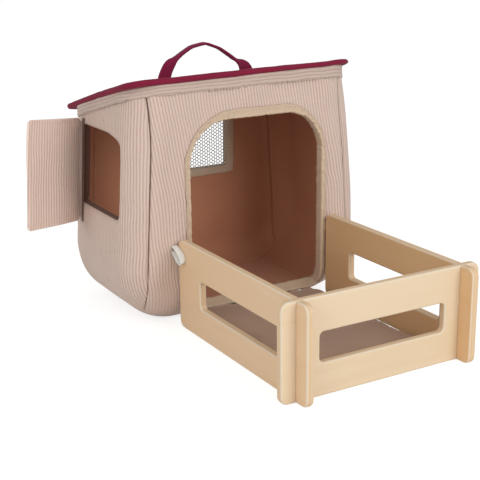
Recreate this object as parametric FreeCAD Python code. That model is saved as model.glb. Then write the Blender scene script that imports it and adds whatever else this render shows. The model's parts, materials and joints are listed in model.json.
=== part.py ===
"""Toy stable: a soft-sided corduroy stall with a padded roof, and a wooden pen that docks at its doorway.

Millimetres, +Z up, +Y towards the back of the stall.
The origin is the middle of the stall's base, on the floor.
"""

import FreeCAD, Part

import math
import os

V = FreeCAD.Vector

# Stall: outer size, walls and corners
stall_depth = 184.0
stall_base_width = 332.0
stall_top_draw_in = 38.0
front_height = 283.0
roof_fall_share = 0.28
corner_radius = 40.0
side_bottom_radius = 66.0
cover_thickness = 3.2
board_thickness = 3.8
lining_thickness = 1.0
front_seam_inset = 25.0
back_seam_inset = 25.0

# Roof panel and the band that is sewn on under it
roof_thickness = 5.8
roof_front_overhang = 7.0
roof_back_overhang = 5.0
roof_side_overhang = 3.0
roof_front_radius = 26.0
roof_back_radius = 15.0
roof_edge_round = 2.6
roof_lining_thickness = 1.0
roof_cover_thickness = 2.4
roof_pocket_margin = 6.0
band_height = 13.0
band_thickness = 1.6

# Doorway in the front wall and the tape that binds its edge
doorway_width = 179.5
doorway_shift = 7.75
doorway_sill = 10.5
doorway_drop = 48.0
doorway_top_radius = 50.0
doorway_bottom_radius = 10.0
binding_width = 9.5
binding_thickness = 1.2

# Net window in the back wall
window_width = 128.0
window_drop = 12.5
window_height = 68.0
window_radius = 4.0
net_thickness = 0.8
net_pitch = 6.8
net_strand = 1.1
net_rim = 1.6

# Hatch in the left wall, and the flap that covers it
hatch_hinge_inset = 1.0
hatch_hinge_margin = 4.0
hatch_front_reach = 9.0
hatch_sill = 126.0
hatch_top_lap = 6.0
hatch_front_top_radius = 9.0
hatch_radius = 7.0
hatch_facing_thickness = 1.0
flap_front_lap = 2.0
flap_thickness = 4.0
flap_board_thickness = 1.6
flap_board_margin = 6.0
flap_bottom_lap = 24.0
flap_bottom_rise = 10.0
flap_band_gap = 1.4
flap_top_rise = 10.0
flap_radius = 7.0
flap_edge_round = 1.8
flap_clearance = 0.4
flap_open_angle = 50.0

# Carrying strap on the roof
strap_set_back = 111.0
strap_half_span = 57.0
strap_rise = 48.5
strap_point_share = 1.2
strap_base_width = 20.0
strap_base_thickness = 1.6
strap_grip_width = 12.0
strap_grip_thickness = 3.0
strap_lift = 1.15
strap_flat_share = 0.08
strap_twist_share = 0.3
strap_stations = 17
patch_length = 30.0
patch_width = 16.0
patch_thickness = 1.4
patch_radius = 3.0

# Wooden pen: two sides and a front that cross-lap at the corners
pen_shift = 6.0
pen_width = 212.0
pen_height = 105.0
panel_thickness = 9.0
panel_radius = 9.0
panel_edge_round = 2.4
side_length = 264.0
side_projection = 19.0
front_overhang = 17.0
slot_sill = 35.5
slot_height = 32.0
slot_radius = 5.0
front_slot_length = 156.0
side_slot_length = 163.0
lap_clearance = 0.3
dock_gap = 0.5

# Padded mat on the floor of the pen
mat_thickness = 12.0
mat_side_gap = 0.3
mat_right_gap = 2.0
mat_front_gap = 5.0
mat_back_gap = 1.0
mat_corner_radius = 16.0
mat_draw_in = 3.0
mat_level_shares = (0.0, 0.3, 0.62, 0.88, 1.0)
mat_inset_shares = (0.2, 0.0, 0.12, 0.6, 1.9)

# White tape loops beside the pen's back ends
loop_radius = 6.5
loop_reach = 17.0
loop_drop = 9.0
loop_tape_width = 7.0
loop_tape_thickness = 1.0
loop_top = 97.0
loop_side_gap = 0.6

# How far cutting shapes run past what they cut, and how closely two heights count as equal
overrun = 10.0
match_tolerance = 0.01

wall_thickness = cover_thickness + board_thickness + lining_thickness
base_half = stall_base_width / 2
front_face = -stall_depth / 2
back_face = stall_depth / 2
lean_share = stall_top_draw_in / 2 / front_height
lean = math.atan(lean_share)
roof_pitch = math.atan(roof_fall_share)
block_top = front_height + overrun
wide = stall_base_width + stall_depth
side_flat_half = stall_depth / 2 - corner_radius
hatch_hinge_y = side_flat_half - hatch_hinge_inset
hatch_back = hatch_hinge_y - hatch_hinge_margin
hatch_front = -side_flat_half - hatch_front_reach
pen_back = front_face - binding_thickness - dock_gap
mat_width = pen_width - 2 * panel_thickness - mat_side_gap - mat_right_gap


def facing_front(y):
    """Places outline points on an upright plane that faces along Y."""
    return lambda across, up: V(across, y, up)


def facing_side(x):
    """Places outline points on an upright plane that faces along X."""
    return lambda along, up: V(x, along, up)


def facing_up(z):
    """Places outline points on a level plane."""
    return lambda across, along: V(across, along, z)


def rounded_wire(a0, a1, b0, b1, radii, at):
    """Rectangle with a radius of its own at each corner: low a and b first, then round by high a."""
    corners = ((a0, b0, 1, 1), (a1, b0, -1, 1), (a1, b1, -1, -1), (a0, b1, 1, -1))
    stops = []
    for index, (a, b, to_a, to_b) in enumerate(corners):
        radius = radii[index]
        bow = radius * (1 - math.sqrt(0.5))
        on_a = (a + to_a * radius, b)
        on_b = (a, b + to_b * radius)
        middle = (a + to_a * bow, b + to_b * bow)
        start, end = (on_b, on_a) if index % 2 == 0 else (on_a, on_b)
        stops.append((start, middle, end))
    edges = []
    for index, (start, middle, end) in enumerate(stops):
        following = stops[(index + 1) % len(stops)][0]
        edges.append(Part.Arc(at(*start), at(*middle), at(*end)).toShape())
        edges.append(Part.LineSegment(at(*end), at(*following)).toShape())
    return Part.Wire(edges)


def prism(wire, along):
    return Part.Face(wire).extrude(along)


def block(x0, x1, y0, y1, z0, z1):
    return Part.makeBox(x1 - x0, y1 - y0, z1 - z0, V(x0, y0, z0))


def roof_underside(y):
    """Height of the roof's underside above the floor."""
    return front_height - roof_fall_share * (y - front_face)


def band_underside(y):
    """Height of the lower edge of the band under the roof."""
    return roof_underside(y) - band_height


def flap_top():
    """Height of the flap's top at its hinge, just under the band."""
    return band_underside(hatch_hinge_y + flap_thickness / 2) - flap_band_gap


def half_width(z):
    """Half the stall's outer width at a height."""
    return base_half - z * lean_share


def stall_block(inset, round_bottom=True):
    """The stall's outer form, drawn in on every side by an inset, with its top left tall."""
    side = inset / math.cos(lean)
    low = half_width(inset) - side
    high = half_width(block_top) - side
    front = front_face + inset
    corners = [
        V(-low, front, inset),
        V(low, front, inset),
        V(high, front, block_top),
        V(-high, front, block_top),
    ]
    body = prism(Part.makePolygon(corners + corners[:1]), V(0, stall_depth - 2 * inset, 0))
    if not round_bottom:
        upright_length = block_top - inset - match_tolerance
        uprights = [edge for edge in body.Edges if edge.BoundBox.ZLength > upright_length]
        return body.makeFillet(corner_radius - inset, uprights)
    feet = [edge for edge in body.Edges if edge.BoundBox.ZMax < inset + match_tolerance]
    side_feet = [edge for edge in feet if edge.BoundBox.YLength > match_tolerance]
    body = body.makeFillet(side_bottom_radius - inset, side_feet)
    rims = [edge for edge in body.Edges if edge.BoundBox.YLength < match_tolerance]
    lower_rims = [edge for edge in rims if edge.BoundBox.ZMin < block_top - match_tolerance]
    return body.makeFillet(corner_radius - inset, lower_rims)


def under_roof(drop=0.0):
    """Everything below the roof's underside, or below a plane that far under it."""
    front = front_face - overrun
    back = back_face + overrun
    corners = [
        V(-wide, front, -overrun),
        V(-wide, back, -overrun),
        V(-wide, back, roof_underside(back) - drop),
        V(-wide, front, roof_underside(front) - drop),
    ]
    return prism(Part.makePolygon(corners + corners[:1]), V(2 * wide, 0, 0))


def seam_zone(inset, y0, y1):
    """The stretch of front or back wall between its two leaning side seams."""
    low = base_half - inset + overrun * lean_share
    high = half_width(block_top) - inset
    corners = [V(-low, y0, -overrun), V(low, y0, -overrun), V(high, y0, block_top), V(-high, y0, block_top)]
    return prism(Part.makePolygon(corners + corners[:1]), V(0, y1 - y0, 0))


def floor_zone():
    """The flat of the base, inside its rounded lower edge."""
    half = base_half - side_bottom_radius
    return block(-half, half, front_face + corner_radius, back_face - corner_radius, -overrun, corner_radius)


def split_layer(layer):
    """One layer of the stall as its front, back, left, right and floor pieces."""
    front_zone = seam_zone(front_seam_inset, front_face - overrun, 0)
    back_zone = seam_zone(back_seam_inset, 0, back_face + overrun)
    floor = floor_zone()
    sides = layer.cut(floor).cut(front_zone).cut(back_zone)
    reach = stall_depth
    return {
        "front": layer.common(front_zone).cut(floor),
        "back": layer.common(back_zone).cut(floor),
        "left": sides.common(block(-wide, 0, -reach, reach, -overrun, block_top)),
        "right": sides.common(block(0, wide, -reach, reach, -overrun, block_top)),
        "floor": layer.common(floor),
    }


def flat_boards(layer):
    """The stiff boards of the walls and floor: flat panels that stop short of the rounded corners."""
    upright = block(-wide, wide, -stall_depth, stall_depth, corner_radius, block_top)
    front_zone = seam_zone(front_seam_inset, front_face - overrun, front_face + corner_radius).common(upright)
    back_zone = seam_zone(back_seam_inset, back_face - corner_radius, back_face + overrun).common(upright)
    inner = half_width(block_top) - corner_radius
    side_ends = (-side_flat_half, side_flat_half, side_bottom_radius, block_top)
    return {
        "front": layer.common(front_zone),
        "back": layer.common(back_zone),
        "left": layer.common(block(-wide, -inner, *side_ends)),
        "right": layer.common(block(inner, wide, *side_ends)),
        "floor": layer.common(floor_zone()),
    }


def doorway_wire(grow, y):
    """Doorway outline, grown on every side."""
    half = doorway_width / 2 + grow
    left = doorway_shift - half
    right = doorway_shift + half
    low = doorway_bottom_radius + grow
    high = doorway_top_radius + grow
    top = front_height - doorway_drop + grow
    radii = (low, low, high, high)
    return rounded_wire(left, right, doorway_sill - grow, top, radii, facing_front(y))


def window_middle():
    """Height of the middle of the net window."""
    return band_underside(back_face) - window_drop - window_height / 2


def window_wire(grow, y):
    """Net window outline, grown on every side."""
    half = window_width / 2 + grow
    radius = window_radius + grow
    rise = window_height / 2 + grow
    middle = window_middle()
    return rounded_wire(-half, half, middle - rise, middle + rise, (radius,) * 4, facing_front(y))


def hatch_wire(grow, x):
    """Hatch outline in the left wall, grown on every side. Its front top corner is the wide one."""
    back = hatch_back + grow
    front = hatch_front - grow
    top = flap_top() - hatch_top_lap + grow
    small = hatch_radius + grow
    large = hatch_front_top_radius + grow
    radii = (small, small, small, large)
    return rounded_wire(front, back, hatch_sill - grow, top, radii, facing_side(x))


def edge_binding(outline, y0, y1):
    """Tape folded round the edge of an opening in the wall between y0 and y1, with a leg on each face."""
    through = V(0, y1 - y0, 0)
    ring = prism(outline(binding_width, y0), through).cut(prism(outline(0, y0), through))
    sleeve = stall_block(-binding_thickness).cut(stall_block(wall_thickness + binding_thickness))
    wall = stall_block(0).cut(stall_block(wall_thickness)).cut(prism(outline(binding_thickness, y0), through))
    return ring.common(sleeve).cut(wall)


def make_walls(parts):
    """Corduroy covers, stiff boards and lining, with the doorway, window and hatch cut through all three."""
    below = under_roof()
    outer = stall_block(0)
    cover_inside = stall_block(cover_thickness)
    board_inside = stall_block(cover_thickness + board_thickness)
    room = stall_block(wall_thickness)
    through = V(0, stall_depth / 2, 0)
    doorway = prism(doorway_wire(binding_thickness, front_face - overrun), through)
    window = prism(window_wire(binding_thickness, 0), through + V(0, overrun, 0))
    hatch = prism(hatch_wire(hatch_facing_thickness, -wide), V(wide, 0, 0))
    cuts = {"front": doorway, "back": window, "left": hatch}
    layers = {
        "cover": split_layer(outer.cut(cover_inside).common(below)),
        "board": flat_boards(cover_inside.cut(board_inside).common(below)),
        "lining": split_layer(board_inside.cut(room).common(below)),
    }
    for layer, pieces in layers.items():
        for side, piece in pieces.items():
            name = "base_cover" if (layer, side) == ("cover", "floor") else f"{side}_{layer}"
            parts[name] = piece.cut(cuts[side]) if side in cuts else piece
    clear = prism(hatch_wire(0, -wide), V(wide, 0, 0))
    parts["hatch_facing"] = outer.cut(room).common(hatch.cut(clear))
    band_block = stall_block(-band_thickness, False)
    band = band_block.cut(stall_block(0, False))
    parts["roof_band"] = band.common(below).cut(under_roof(band_height))


def make_bindings(parts):
    """Tape round the doorway and the window, and the net that the window's tape holds."""
    parts["doorway_binding"] = edge_binding(doorway_wire, front_face - overrun, front_face + corner_radius)
    parts["window_binding"] = edge_binding(window_wire, back_face - corner_radius, back_face + overrun)
    net_y = back_face - wall_thickness / 2 - net_thickness / 2
    holed = Part.makeFace([window_wire(0, net_y)] + net_gaps(net_y), "Part::FaceMakerBullseye")
    parts["window_net"] = holed.extrude(V(0, net_thickness, 0))


def net_gaps(y):
    """Six-sided gaps in staggered rows, each row nesting into the one below it."""
    reach = (net_pitch - net_strand) / 2 / math.cos(math.pi / 6)
    row_pitch = net_pitch * math.cos(math.pi / 6)
    half = window_width / 2 - net_rim - net_pitch / 2
    rise = window_height / 2 - net_rim - reach
    corner_half = half - window_radius / 2
    rows = int(rise / row_pitch)
    gaps = []
    for row in range(-rows, rows + 1):
        limit = corner_half if abs(row) == rows else half
        offset = net_pitch / 2 if row % 2 else 0
        count = int((limit - offset) / net_pitch)
        columns = [offset + net_pitch * step for step in range(-count - (1 if offset else 0), count + 1)]
        for x in columns:
            z = window_middle() + row * row_pitch
            corners = []
            for turn in range(6):
                angle = math.pi / 6 + turn * math.pi / 3
                corners.append(V(x + reach * math.cos(angle), y, z + reach * math.sin(angle)))
            gaps.append(Part.makePolygon(corners + corners[:1]))
    return gaps


def on_roof(shape):
    """Tilts a shape from level to the roof's pitch, about the top of the front wall."""
    tilt = FreeCAD.Rotation(V(1, 0, 0), -math.degrees(roof_pitch))
    shape = shape.copy()
    shape.Placement = FreeCAD.Placement(V(0, front_face, front_height), tilt)
    return shape


def make_roof(parts):
    """Padded roof: a cover with rounded edges, its stiff board, and a lining under the board."""
    half = half_width(front_height) + roof_side_overhang
    front = -roof_front_overhang / math.cos(roof_pitch)
    back = (stall_depth + roof_back_overhang) / math.cos(roof_pitch)
    radii = (roof_front_radius, roof_front_radius, roof_back_radius, roof_back_radius)
    outline = rounded_wire(-half, half, front, back, radii, facing_up(0))
    panel = prism(outline, V(0, 0, roof_thickness))
    rims = [edge for edge in panel.Edges if edge.BoundBox.ZLength < match_tolerance]
    panel = panel.makeFillet(roof_edge_round, rims)
    pocket_half = half_width(front_height) - roof_pocket_margin
    pocket_back = (stall_depth - roof_pocket_margin) / math.cos(roof_pitch)
    pocket_ends = (-pocket_half, pocket_half, roof_pocket_margin, pocket_back)
    pocket_outline = rounded_wire(*pocket_ends, radii, facing_up(0))
    pocket = prism(pocket_outline, V(0, 0, roof_thickness - roof_cover_thickness))
    lining = prism(pocket_outline, V(0, 0, roof_lining_thickness))
    parts["roof_cover"] = on_roof(panel.cut(pocket))
    parts["roof_board"] = on_roof(pocket.cut(lining))
    parts["roof_lining"] = on_roof(lining)


def strap_axis():
    """Point on the line about which the carrying strap falls forward or back."""
    y = front_face + strap_set_back
    roof_top = roof_underside(y) + (roof_thickness + patch_thickness) / math.cos(roof_pitch)
    return V(0, y, roof_top + strap_lift)


def strap_section(angle):
    """Cross-section of the strap: flat to the front at its sewn ends, turned flat to the palm at the grip."""
    height = strap_rise * abs(math.sin(angle)) ** strap_point_share
    centre = strap_axis() + V(strap_half_span * math.cos(angle), 0, height)
    outward = V(math.cos(angle), 0, math.sin(angle))
    along_share = min(angle, math.pi - angle) / math.pi
    share = (along_share - strap_flat_share) / (strap_twist_share - strap_flat_share)
    share = min(1.0, max(0.0, share))
    ease = share * share * (3 - 2 * share)
    turn = ease * math.pi / 2
    across = outward * math.cos(turn) + V(0, 1, 0) * math.sin(turn)
    through = outward * -math.sin(turn) + V(0, 1, 0) * math.cos(turn)
    half = (strap_base_width + (strap_grip_width - strap_base_width) * ease) / 2
    thin = (strap_base_thickness + (strap_grip_thickness - strap_base_thickness) * ease) / 2
    corners = []
    for side, face in ((-1, -1), (1, -1), (1, 1), (-1, 1)):
        corners.append(centre + across * (side * half) + through * (face * thin))
    return Part.makePolygon(corners + corners[:1])


def make_strap(parts):
    """Carrying strap, and the two patches on the roof where its ends are sewn down."""
    sections = [strap_section(math.pi * step / (strap_stations - 1)) for step in range(strap_stations)]
    parts["carry_strap"] = Part.makeLoft(sections, True, True)
    along = strap_set_back / math.cos(roof_pitch)
    patches = []
    for side in (-1, 1):
        middle = side * strap_half_span
        ends = (middle - patch_length / 2, middle + patch_length / 2)
        edges = (along - patch_width / 2, along + patch_width / 2)
        outline = rounded_wire(*ends, *edges, (patch_radius,) * 4, facing_up(roof_thickness))
        patches.append(on_roof(prism(outline, V(0, 0, patch_thickness))))
    parts["strap_patches"] = Part.Compound(patches)


def flap_axis_offset():
    """Distance from the left wall's face out to the middle of the flap's thickness."""
    return flap_clearance + flap_thickness / 2


def on_left_wall(shape):
    """Leans the closed flap back on to the left wall's outer face, then swings it open about its hinge."""
    hinge = V(-flap_axis_offset(), hatch_hinge_y, 0)
    swing = FreeCAD.Placement(V(0, 0, 0), FreeCAD.Rotation(V(0, 0, 1), -flap_open_angle), hinge)
    stand = FreeCAD.Placement(V(-base_half, 0, 0), FreeCAD.Rotation(V(0, 1, 0), math.degrees(lean)))
    shape = shape.copy()
    shape.Placement = stand.multiply(swing)
    return shape


def make_flap(parts):
    """Hatch flap: a thin board between two covers, hinged at its back edge and shown open."""
    inner_face = -flap_clearance
    back = hatch_hinge_y + flap_thickness / 2
    front = hatch_front - flap_front_lap
    bottom = hatch_sill - flap_bottom_lap
    top = flap_top()
    free_top = top + flap_top_rise
    corners = [
        V(inner_face, front, bottom + flap_bottom_rise),
        V(inner_face, back, bottom),
        V(inner_face, back, top),
        V(inner_face, front, free_top),
    ]
    body = prism(Part.makePolygon(corners + corners[:1]), V(-flap_thickness, 0, 0))
    turns = [edge for edge in body.Edges if edge.BoundBox.XLength > match_tolerance]
    body = body.makeFillet(flap_radius, turns)
    rims = [edge for edge in body.Edges if edge.BoundBox.XLength < match_tolerance]
    body = body.makeFillet(flap_edge_round, rims)
    middle = -flap_axis_offset()
    half_board = flap_board_thickness / 2
    board = block(
        middle - half_board,
        middle + half_board,
        front + flap_board_margin,
        back - flap_board_margin,
        bottom + flap_bottom_rise + flap_board_margin,
        top - flap_board_margin,
    )
    shell = body.cut(board)
    outside = block(-wide, middle, front - overrun, back + overrun, bottom - overrun, free_top + overrun)
    parts["flap_outer_cover"] = on_left_wall(shell.common(outside))
    parts["flap_inner_cover"] = on_left_wall(shell.cut(outside))
    parts["flap_board"] = on_left_wall(board)


def panel(at, a0, a1, slot_a0, slot_length, through):
    """Wooden panel with rounded corners and one long slot, its rims eased all round."""
    outer = prism(rounded_wire(a0, a1, 0, pen_height, (panel_radius,) * 4, at), through)
    slot_top = slot_sill + slot_height
    slot_a1 = slot_a0 + slot_length
    slot = rounded_wire(slot_a0, slot_a1, slot_sill, slot_top, (slot_radius,) * 4, at)
    body = outer.cut(prism(slot, through))
    spans = ("XLength", "YLength")
    depth = spans[0] if abs(through.x) > 0 else spans[1]
    rims = [edge for edge in body.Edges if getattr(edge.BoundBox, depth) < match_tolerance]
    return body.makeFillet(panel_edge_round, rims)


def make_pen(parts):
    """Pen of three panels: the front's notches open downwards and drop over notches in the two sides."""
    side_front = pen_back - side_length
    front_y = side_front + side_projection
    outer = pen_width / 2
    lap = pen_height / 2
    notch_front = front_y - lap_clearance
    notch_back = front_y + panel_thickness + lap_clearance
    side_slot = side_front + (side_length - side_slot_length) / 2
    left = pen_shift - outer
    right = pen_shift + outer
    faces = {"pen_left_side": left, "pen_right_side": right - panel_thickness}
    for name, x in faces.items():
        through = V(panel_thickness, 0, 0)
        side = panel(facing_side(x), side_front, pen_back, side_slot, side_slot_length, through)
        notch_ends = (x - overrun, x + panel_thickness + overrun)
        notch = block(*notch_ends, notch_front, notch_back, lap - lap_clearance, pen_height + overrun)
        parts[name] = side.cut(notch)
    slot_start = pen_shift - front_slot_length / 2
    ends = (left - front_overhang, right + front_overhang)
    front = panel(facing_front(front_y), *ends, slot_start, front_slot_length, V(0, panel_thickness, 0))
    front_faces = (front_y - overrun, front_y + panel_thickness + overrun)
    for x in faces.values():
        x0 = x - lap_clearance
        x1 = x + panel_thickness + lap_clearance
        front = front.cut(block(x0, x1, *front_faces, -overrun, lap))
    parts["pen_front_panel"] = front
    make_mat(parts, front_y + panel_thickness + mat_front_gap)
    make_loops(parts, left, right)


def mat_section(front, level_share, inset_share):
    """One level of the mat: four sides that draw in between rounded corners."""
    inset = inset_share * mat_thickness
    half = mat_width / 2 - inset
    middle_x = pen_shift - pen_width / 2 + panel_thickness + mat_side_gap + mat_width / 2
    y0 = front + inset
    y1 = pen_back - mat_back_gap - inset
    z = level_share * mat_thickness
    corner = mat_corner_radius
    bow = corner * (1 - math.sqrt(0.5))
    x0 = middle_x - half
    x1 = middle_x + half
    middle_y = (y0 + y1) / 2
    turns = (
        ((x0, y0 + corner), (x0 + bow, y0 + bow), (x0 + corner, y0), (middle_x, y0 + mat_draw_in)),
        ((x1 - corner, y0), (x1 - bow, y0 + bow), (x1, y0 + corner), (x1 - mat_draw_in, middle_y)),
        ((x1, y1 - corner), (x1 - bow, y1 - bow), (x1 - corner, y1), (middle_x, y1 - mat_draw_in)),
        ((x0 + corner, y1), (x0 + bow, y1 - bow), (x0, y1 - corner), (x0 + mat_draw_in, middle_y)),
    )
    edges = []
    for index, (start, through, end, drawn) in enumerate(turns):
        following = turns[(index + 1) % len(turns)][0]
        edges.append(Part.Arc(V(*start, z), V(*through, z), V(*end, z)).toShape())
        edges.append(Part.Arc(V(*end, z), V(*drawn, z), V(*following, z)).toShape())
    return Part.Wire(edges)


def make_mat(parts, front):
    """Padded mat with a low crown, lying flat on the floor between the pen's sides."""
    shares = zip(mat_level_shares, mat_inset_shares)
    sections = [mat_section(front, level, inset) for level, inset in shares]
    parts["pen_mat"] = Part.makeLoft(sections, True, True)


def teardrop(apex_y, apex_z, centre_y, centre_z, radius, x):
    """Outline of a drooping loop: a round end with two straight runs back to a point."""
    span_y = centre_y - apex_y
    span_z = centre_z - apex_z
    span = math.hypot(span_y, span_z)
    heading = math.atan2(span_z, span_y)
    spread = math.pi / 2 + math.asin(radius / span)
    touches = []
    for turn in (spread, 0, -spread):
        angle = heading + turn
        touches.append(V(x, centre_y + radius * math.cos(angle), centre_z + radius * math.sin(angle)))
    apex = V(x, apex_y, apex_z)
    edges = [
        Part.LineSegment(apex, touches[0]).toShape(),
        Part.Arc(*touches).toShape(),
        Part.LineSegment(touches[2], apex).toShape(),
    ]
    return Part.Wire(edges)


def make_loops(parts, left, right):
    """Tape loops sewn to the front wall just outside the pen's sides, each drooping forward."""
    centre_y = front_face - loop_reach + loop_radius
    centre_z = loop_top - loop_drop
    span = math.hypot(centre_y - front_face, loop_drop)
    inner_shift = loop_tape_thickness * span / loop_radius
    inner_y = front_face + inner_shift * (centre_y - front_face) / span
    inner_z = loop_top - inner_shift * loop_drop / span
    starts = {
        "pen_loop_left": left - loop_side_gap - loop_tape_width,
        "pen_loop_right": right + loop_side_gap,
    }
    width = V(loop_tape_width, 0, 0)
    for name, x in starts.items():
        outer = prism(teardrop(front_face, loop_top, centre_y, centre_z, loop_radius, x), width)
        inner_radius = loop_radius - loop_tape_thickness
        inner = prism(teardrop(inner_y, inner_z, centre_y, centre_z, inner_radius, x), width)
        parts[name] = outer.cut(inner)


def main():
    parts = {}
    make_walls(parts)
    make_bindings(parts)
    make_roof(parts)
    make_strap(parts)
    make_flap(parts)
    make_pen(parts)
    os.makedirs("parts", exist_ok=True)
    for name, shape in parts.items():
        solids = shape.Solids
        state = "valid" if shape.isValid() else "NOT VALID"
        print(name, len(solids), "solids", round(shape.Volume), "mm3", state)
        whole = solids[0] if len(solids) == 1 else Part.Compound(solids)
        whole.exportStep(f"parts/{name}.step")


main()
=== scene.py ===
"""Toy stable: a soft corduroy stall with a padded roof, and a wooden pen with a mat at its doorway.

Metres, +Z up, +Y towards the back of the stall, in the frame of the packed part.
"""

import json
import math

import bmesh
import bpy
import numpy as np
from mathutils import Matrix, Vector


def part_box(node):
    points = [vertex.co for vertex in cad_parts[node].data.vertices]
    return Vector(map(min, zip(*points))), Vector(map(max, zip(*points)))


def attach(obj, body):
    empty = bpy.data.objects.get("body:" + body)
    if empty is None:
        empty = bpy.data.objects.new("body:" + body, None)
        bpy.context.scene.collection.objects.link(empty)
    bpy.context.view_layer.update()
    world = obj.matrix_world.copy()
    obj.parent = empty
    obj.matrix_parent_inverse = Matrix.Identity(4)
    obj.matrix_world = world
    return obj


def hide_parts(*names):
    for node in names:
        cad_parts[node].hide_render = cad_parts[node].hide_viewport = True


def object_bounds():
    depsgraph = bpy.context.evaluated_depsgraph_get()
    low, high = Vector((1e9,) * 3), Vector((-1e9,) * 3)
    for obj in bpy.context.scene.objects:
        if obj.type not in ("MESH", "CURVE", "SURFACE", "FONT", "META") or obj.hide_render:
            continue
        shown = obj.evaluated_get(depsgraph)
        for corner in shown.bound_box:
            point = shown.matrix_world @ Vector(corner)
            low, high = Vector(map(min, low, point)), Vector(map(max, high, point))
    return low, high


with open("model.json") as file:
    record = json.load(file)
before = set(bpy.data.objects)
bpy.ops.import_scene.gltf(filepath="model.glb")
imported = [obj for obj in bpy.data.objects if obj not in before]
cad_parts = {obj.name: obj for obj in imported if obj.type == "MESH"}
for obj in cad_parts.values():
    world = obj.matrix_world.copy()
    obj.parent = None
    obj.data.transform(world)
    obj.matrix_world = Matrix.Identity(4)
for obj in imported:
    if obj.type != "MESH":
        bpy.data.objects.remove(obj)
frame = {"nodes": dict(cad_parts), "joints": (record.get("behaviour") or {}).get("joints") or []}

bl_info = {
    "name": "Toy stable",
    "version": (1, 0, 0),
    "blender": (4, 5, 0),
    "location": "View3D > Sidebar > Stable",
    "description": "Dresses a toy stable in corduroy, cloth, net and wood",
    "category": "Object",
}

cad_low, cad_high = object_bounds()
joints = {joint["name"]: joint for joint in frame["joints"]}
leaning = ("back", "right")
to_millimetres = 1000.0
wave_count = 14
layer_pitch = 0.0036
calm_width = 0.020
rib_roundness = 0.75
thread_pitch = 0.3
roof_finish = {"pitch": 0.6, "contrast": 0.14, "sheen": 0.06, "roughness": 0.8}


def linear(*levels):
    """Screen levels from 0 to 255 as the linear values that a shader takes."""
    return tuple(((level / 255 + 0.055) / 1.055) ** 2.4 for level in levels)


def length(name, text, default):
    return bpy.props.FloatProperty(name=name, description=text, default=default, unit="LENGTH", precision=5)


def share(name, text, default):
    return bpy.props.FloatProperty(name=name, description=text, default=default, subtype="FACTOR")


def turn(name, text, degrees):
    angle = math.radians(degrees)
    return bpy.props.FloatProperty(name=name, description=text, default=angle, subtype="ANGLE")


def power(name, text, default):
    return bpy.props.FloatProperty(name=name, description=text, default=default, unit="POWER")


def spot(name, text, *place):
    return bpy.props.FloatVectorProperty(
        name=name, description=text, default=place, subtype="TRANSLATION", unit="LENGTH"
    )


def tint(name, text, *levels):
    return bpy.props.FloatVectorProperty(
        name=name, description=text, default=linear(*levels), subtype="COLOR", min=0, max=1
    )


class StallSizes(bpy.types.PropertyGroup):
    """Sizes of the soft stall."""

    corner_radius: length("Corner radius", "Radius of the upright corners", 0.040)
    foot_radius: length("Foot radius", "Radius of the lower edge at the sides", 0.066)
    right_lean: length("Right lean", "How far the right wall curves in at its top", 0.009)
    right_belly: length("Right belly", "How far the right wall swells out below that", 0.0027)
    back_lean: length("Back lean", "How far the back wall leans in at its top", 0.0065)
    seam_flare: length("Seam flare", "How far the corner seams swing to the sides at their tops", 0.010)
    flare_start: length("Flare start", "Height where the corner seams begin to swing", 0.195)
    # The seam's line is painted shade along its crease, and it also flattens the ribs there
    seam_width: length("Seam width", "Width of the dark line of a seam", 0.0008)
    wall_thickness: length("Wall thickness", "Cover, board and lining together", 0.008)
    seam_offset: length("Seam offset", "How far the front and back seams lie in from the side", 0.025)
    roof_fall: share("Roof fall", "Drop of the roof for each unit of depth", 0.28)
    cover_thickness: length("Cover thickness", "Thickness of the corduroy", 0.0016)
    lining_thickness: length("Lining thickness", "Thickness of the lining cloth", 0.0008)
    rib_pitch: length("Rib pitch", "Width of one corduroy rib", 0.00385)
    rib_height: length("Rib height", "Height of one corduroy rib", 0.00055)
    rib_lean: share("Rib lean", "How far the front's ribs lean for each unit of height", 0.08)
    rib_bend: share("Rib bend", "How much more they lean above the doorway", 0.10)
    rib_bend_start: length("Rib bend start", "Height where the front's ribs begin to lean more", 0.17)
    board_depth: length("Board depth", "How far the boards lie under the corduroy", 0.0032)
    board_thickness: length("Board thickness", "Thickness of the stiff boards", 0.0036)
    wave_height: length("Wave height", "Height of the soft waves in the walls", 0.0012)
    wave_length: length("Wave length", "Length of the soft waves in the walls", 0.085)
    crease_depth: length("Crease depth", "How deep the seams draw the walls in", 0.0014)
    pucker_height: length("Pucker height", "Height of the puckers beside sewn edges", 0.0004)
    pucker_length: length("Pucker length", "Length of the puckers beside sewn edges", 0.013)
    column_step: length("Column step", "Width of one mesh column on the corduroy", 0.00077)
    row_step: length("Row step", "Height of one mesh row on the walls", 0.006)
    front_row_step: length("Front row step", "Height of one mesh row on the front wall", 0.0024)
    plain_step: length("Plain step", "Width of one mesh column on plain cloth", 0.005)


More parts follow.
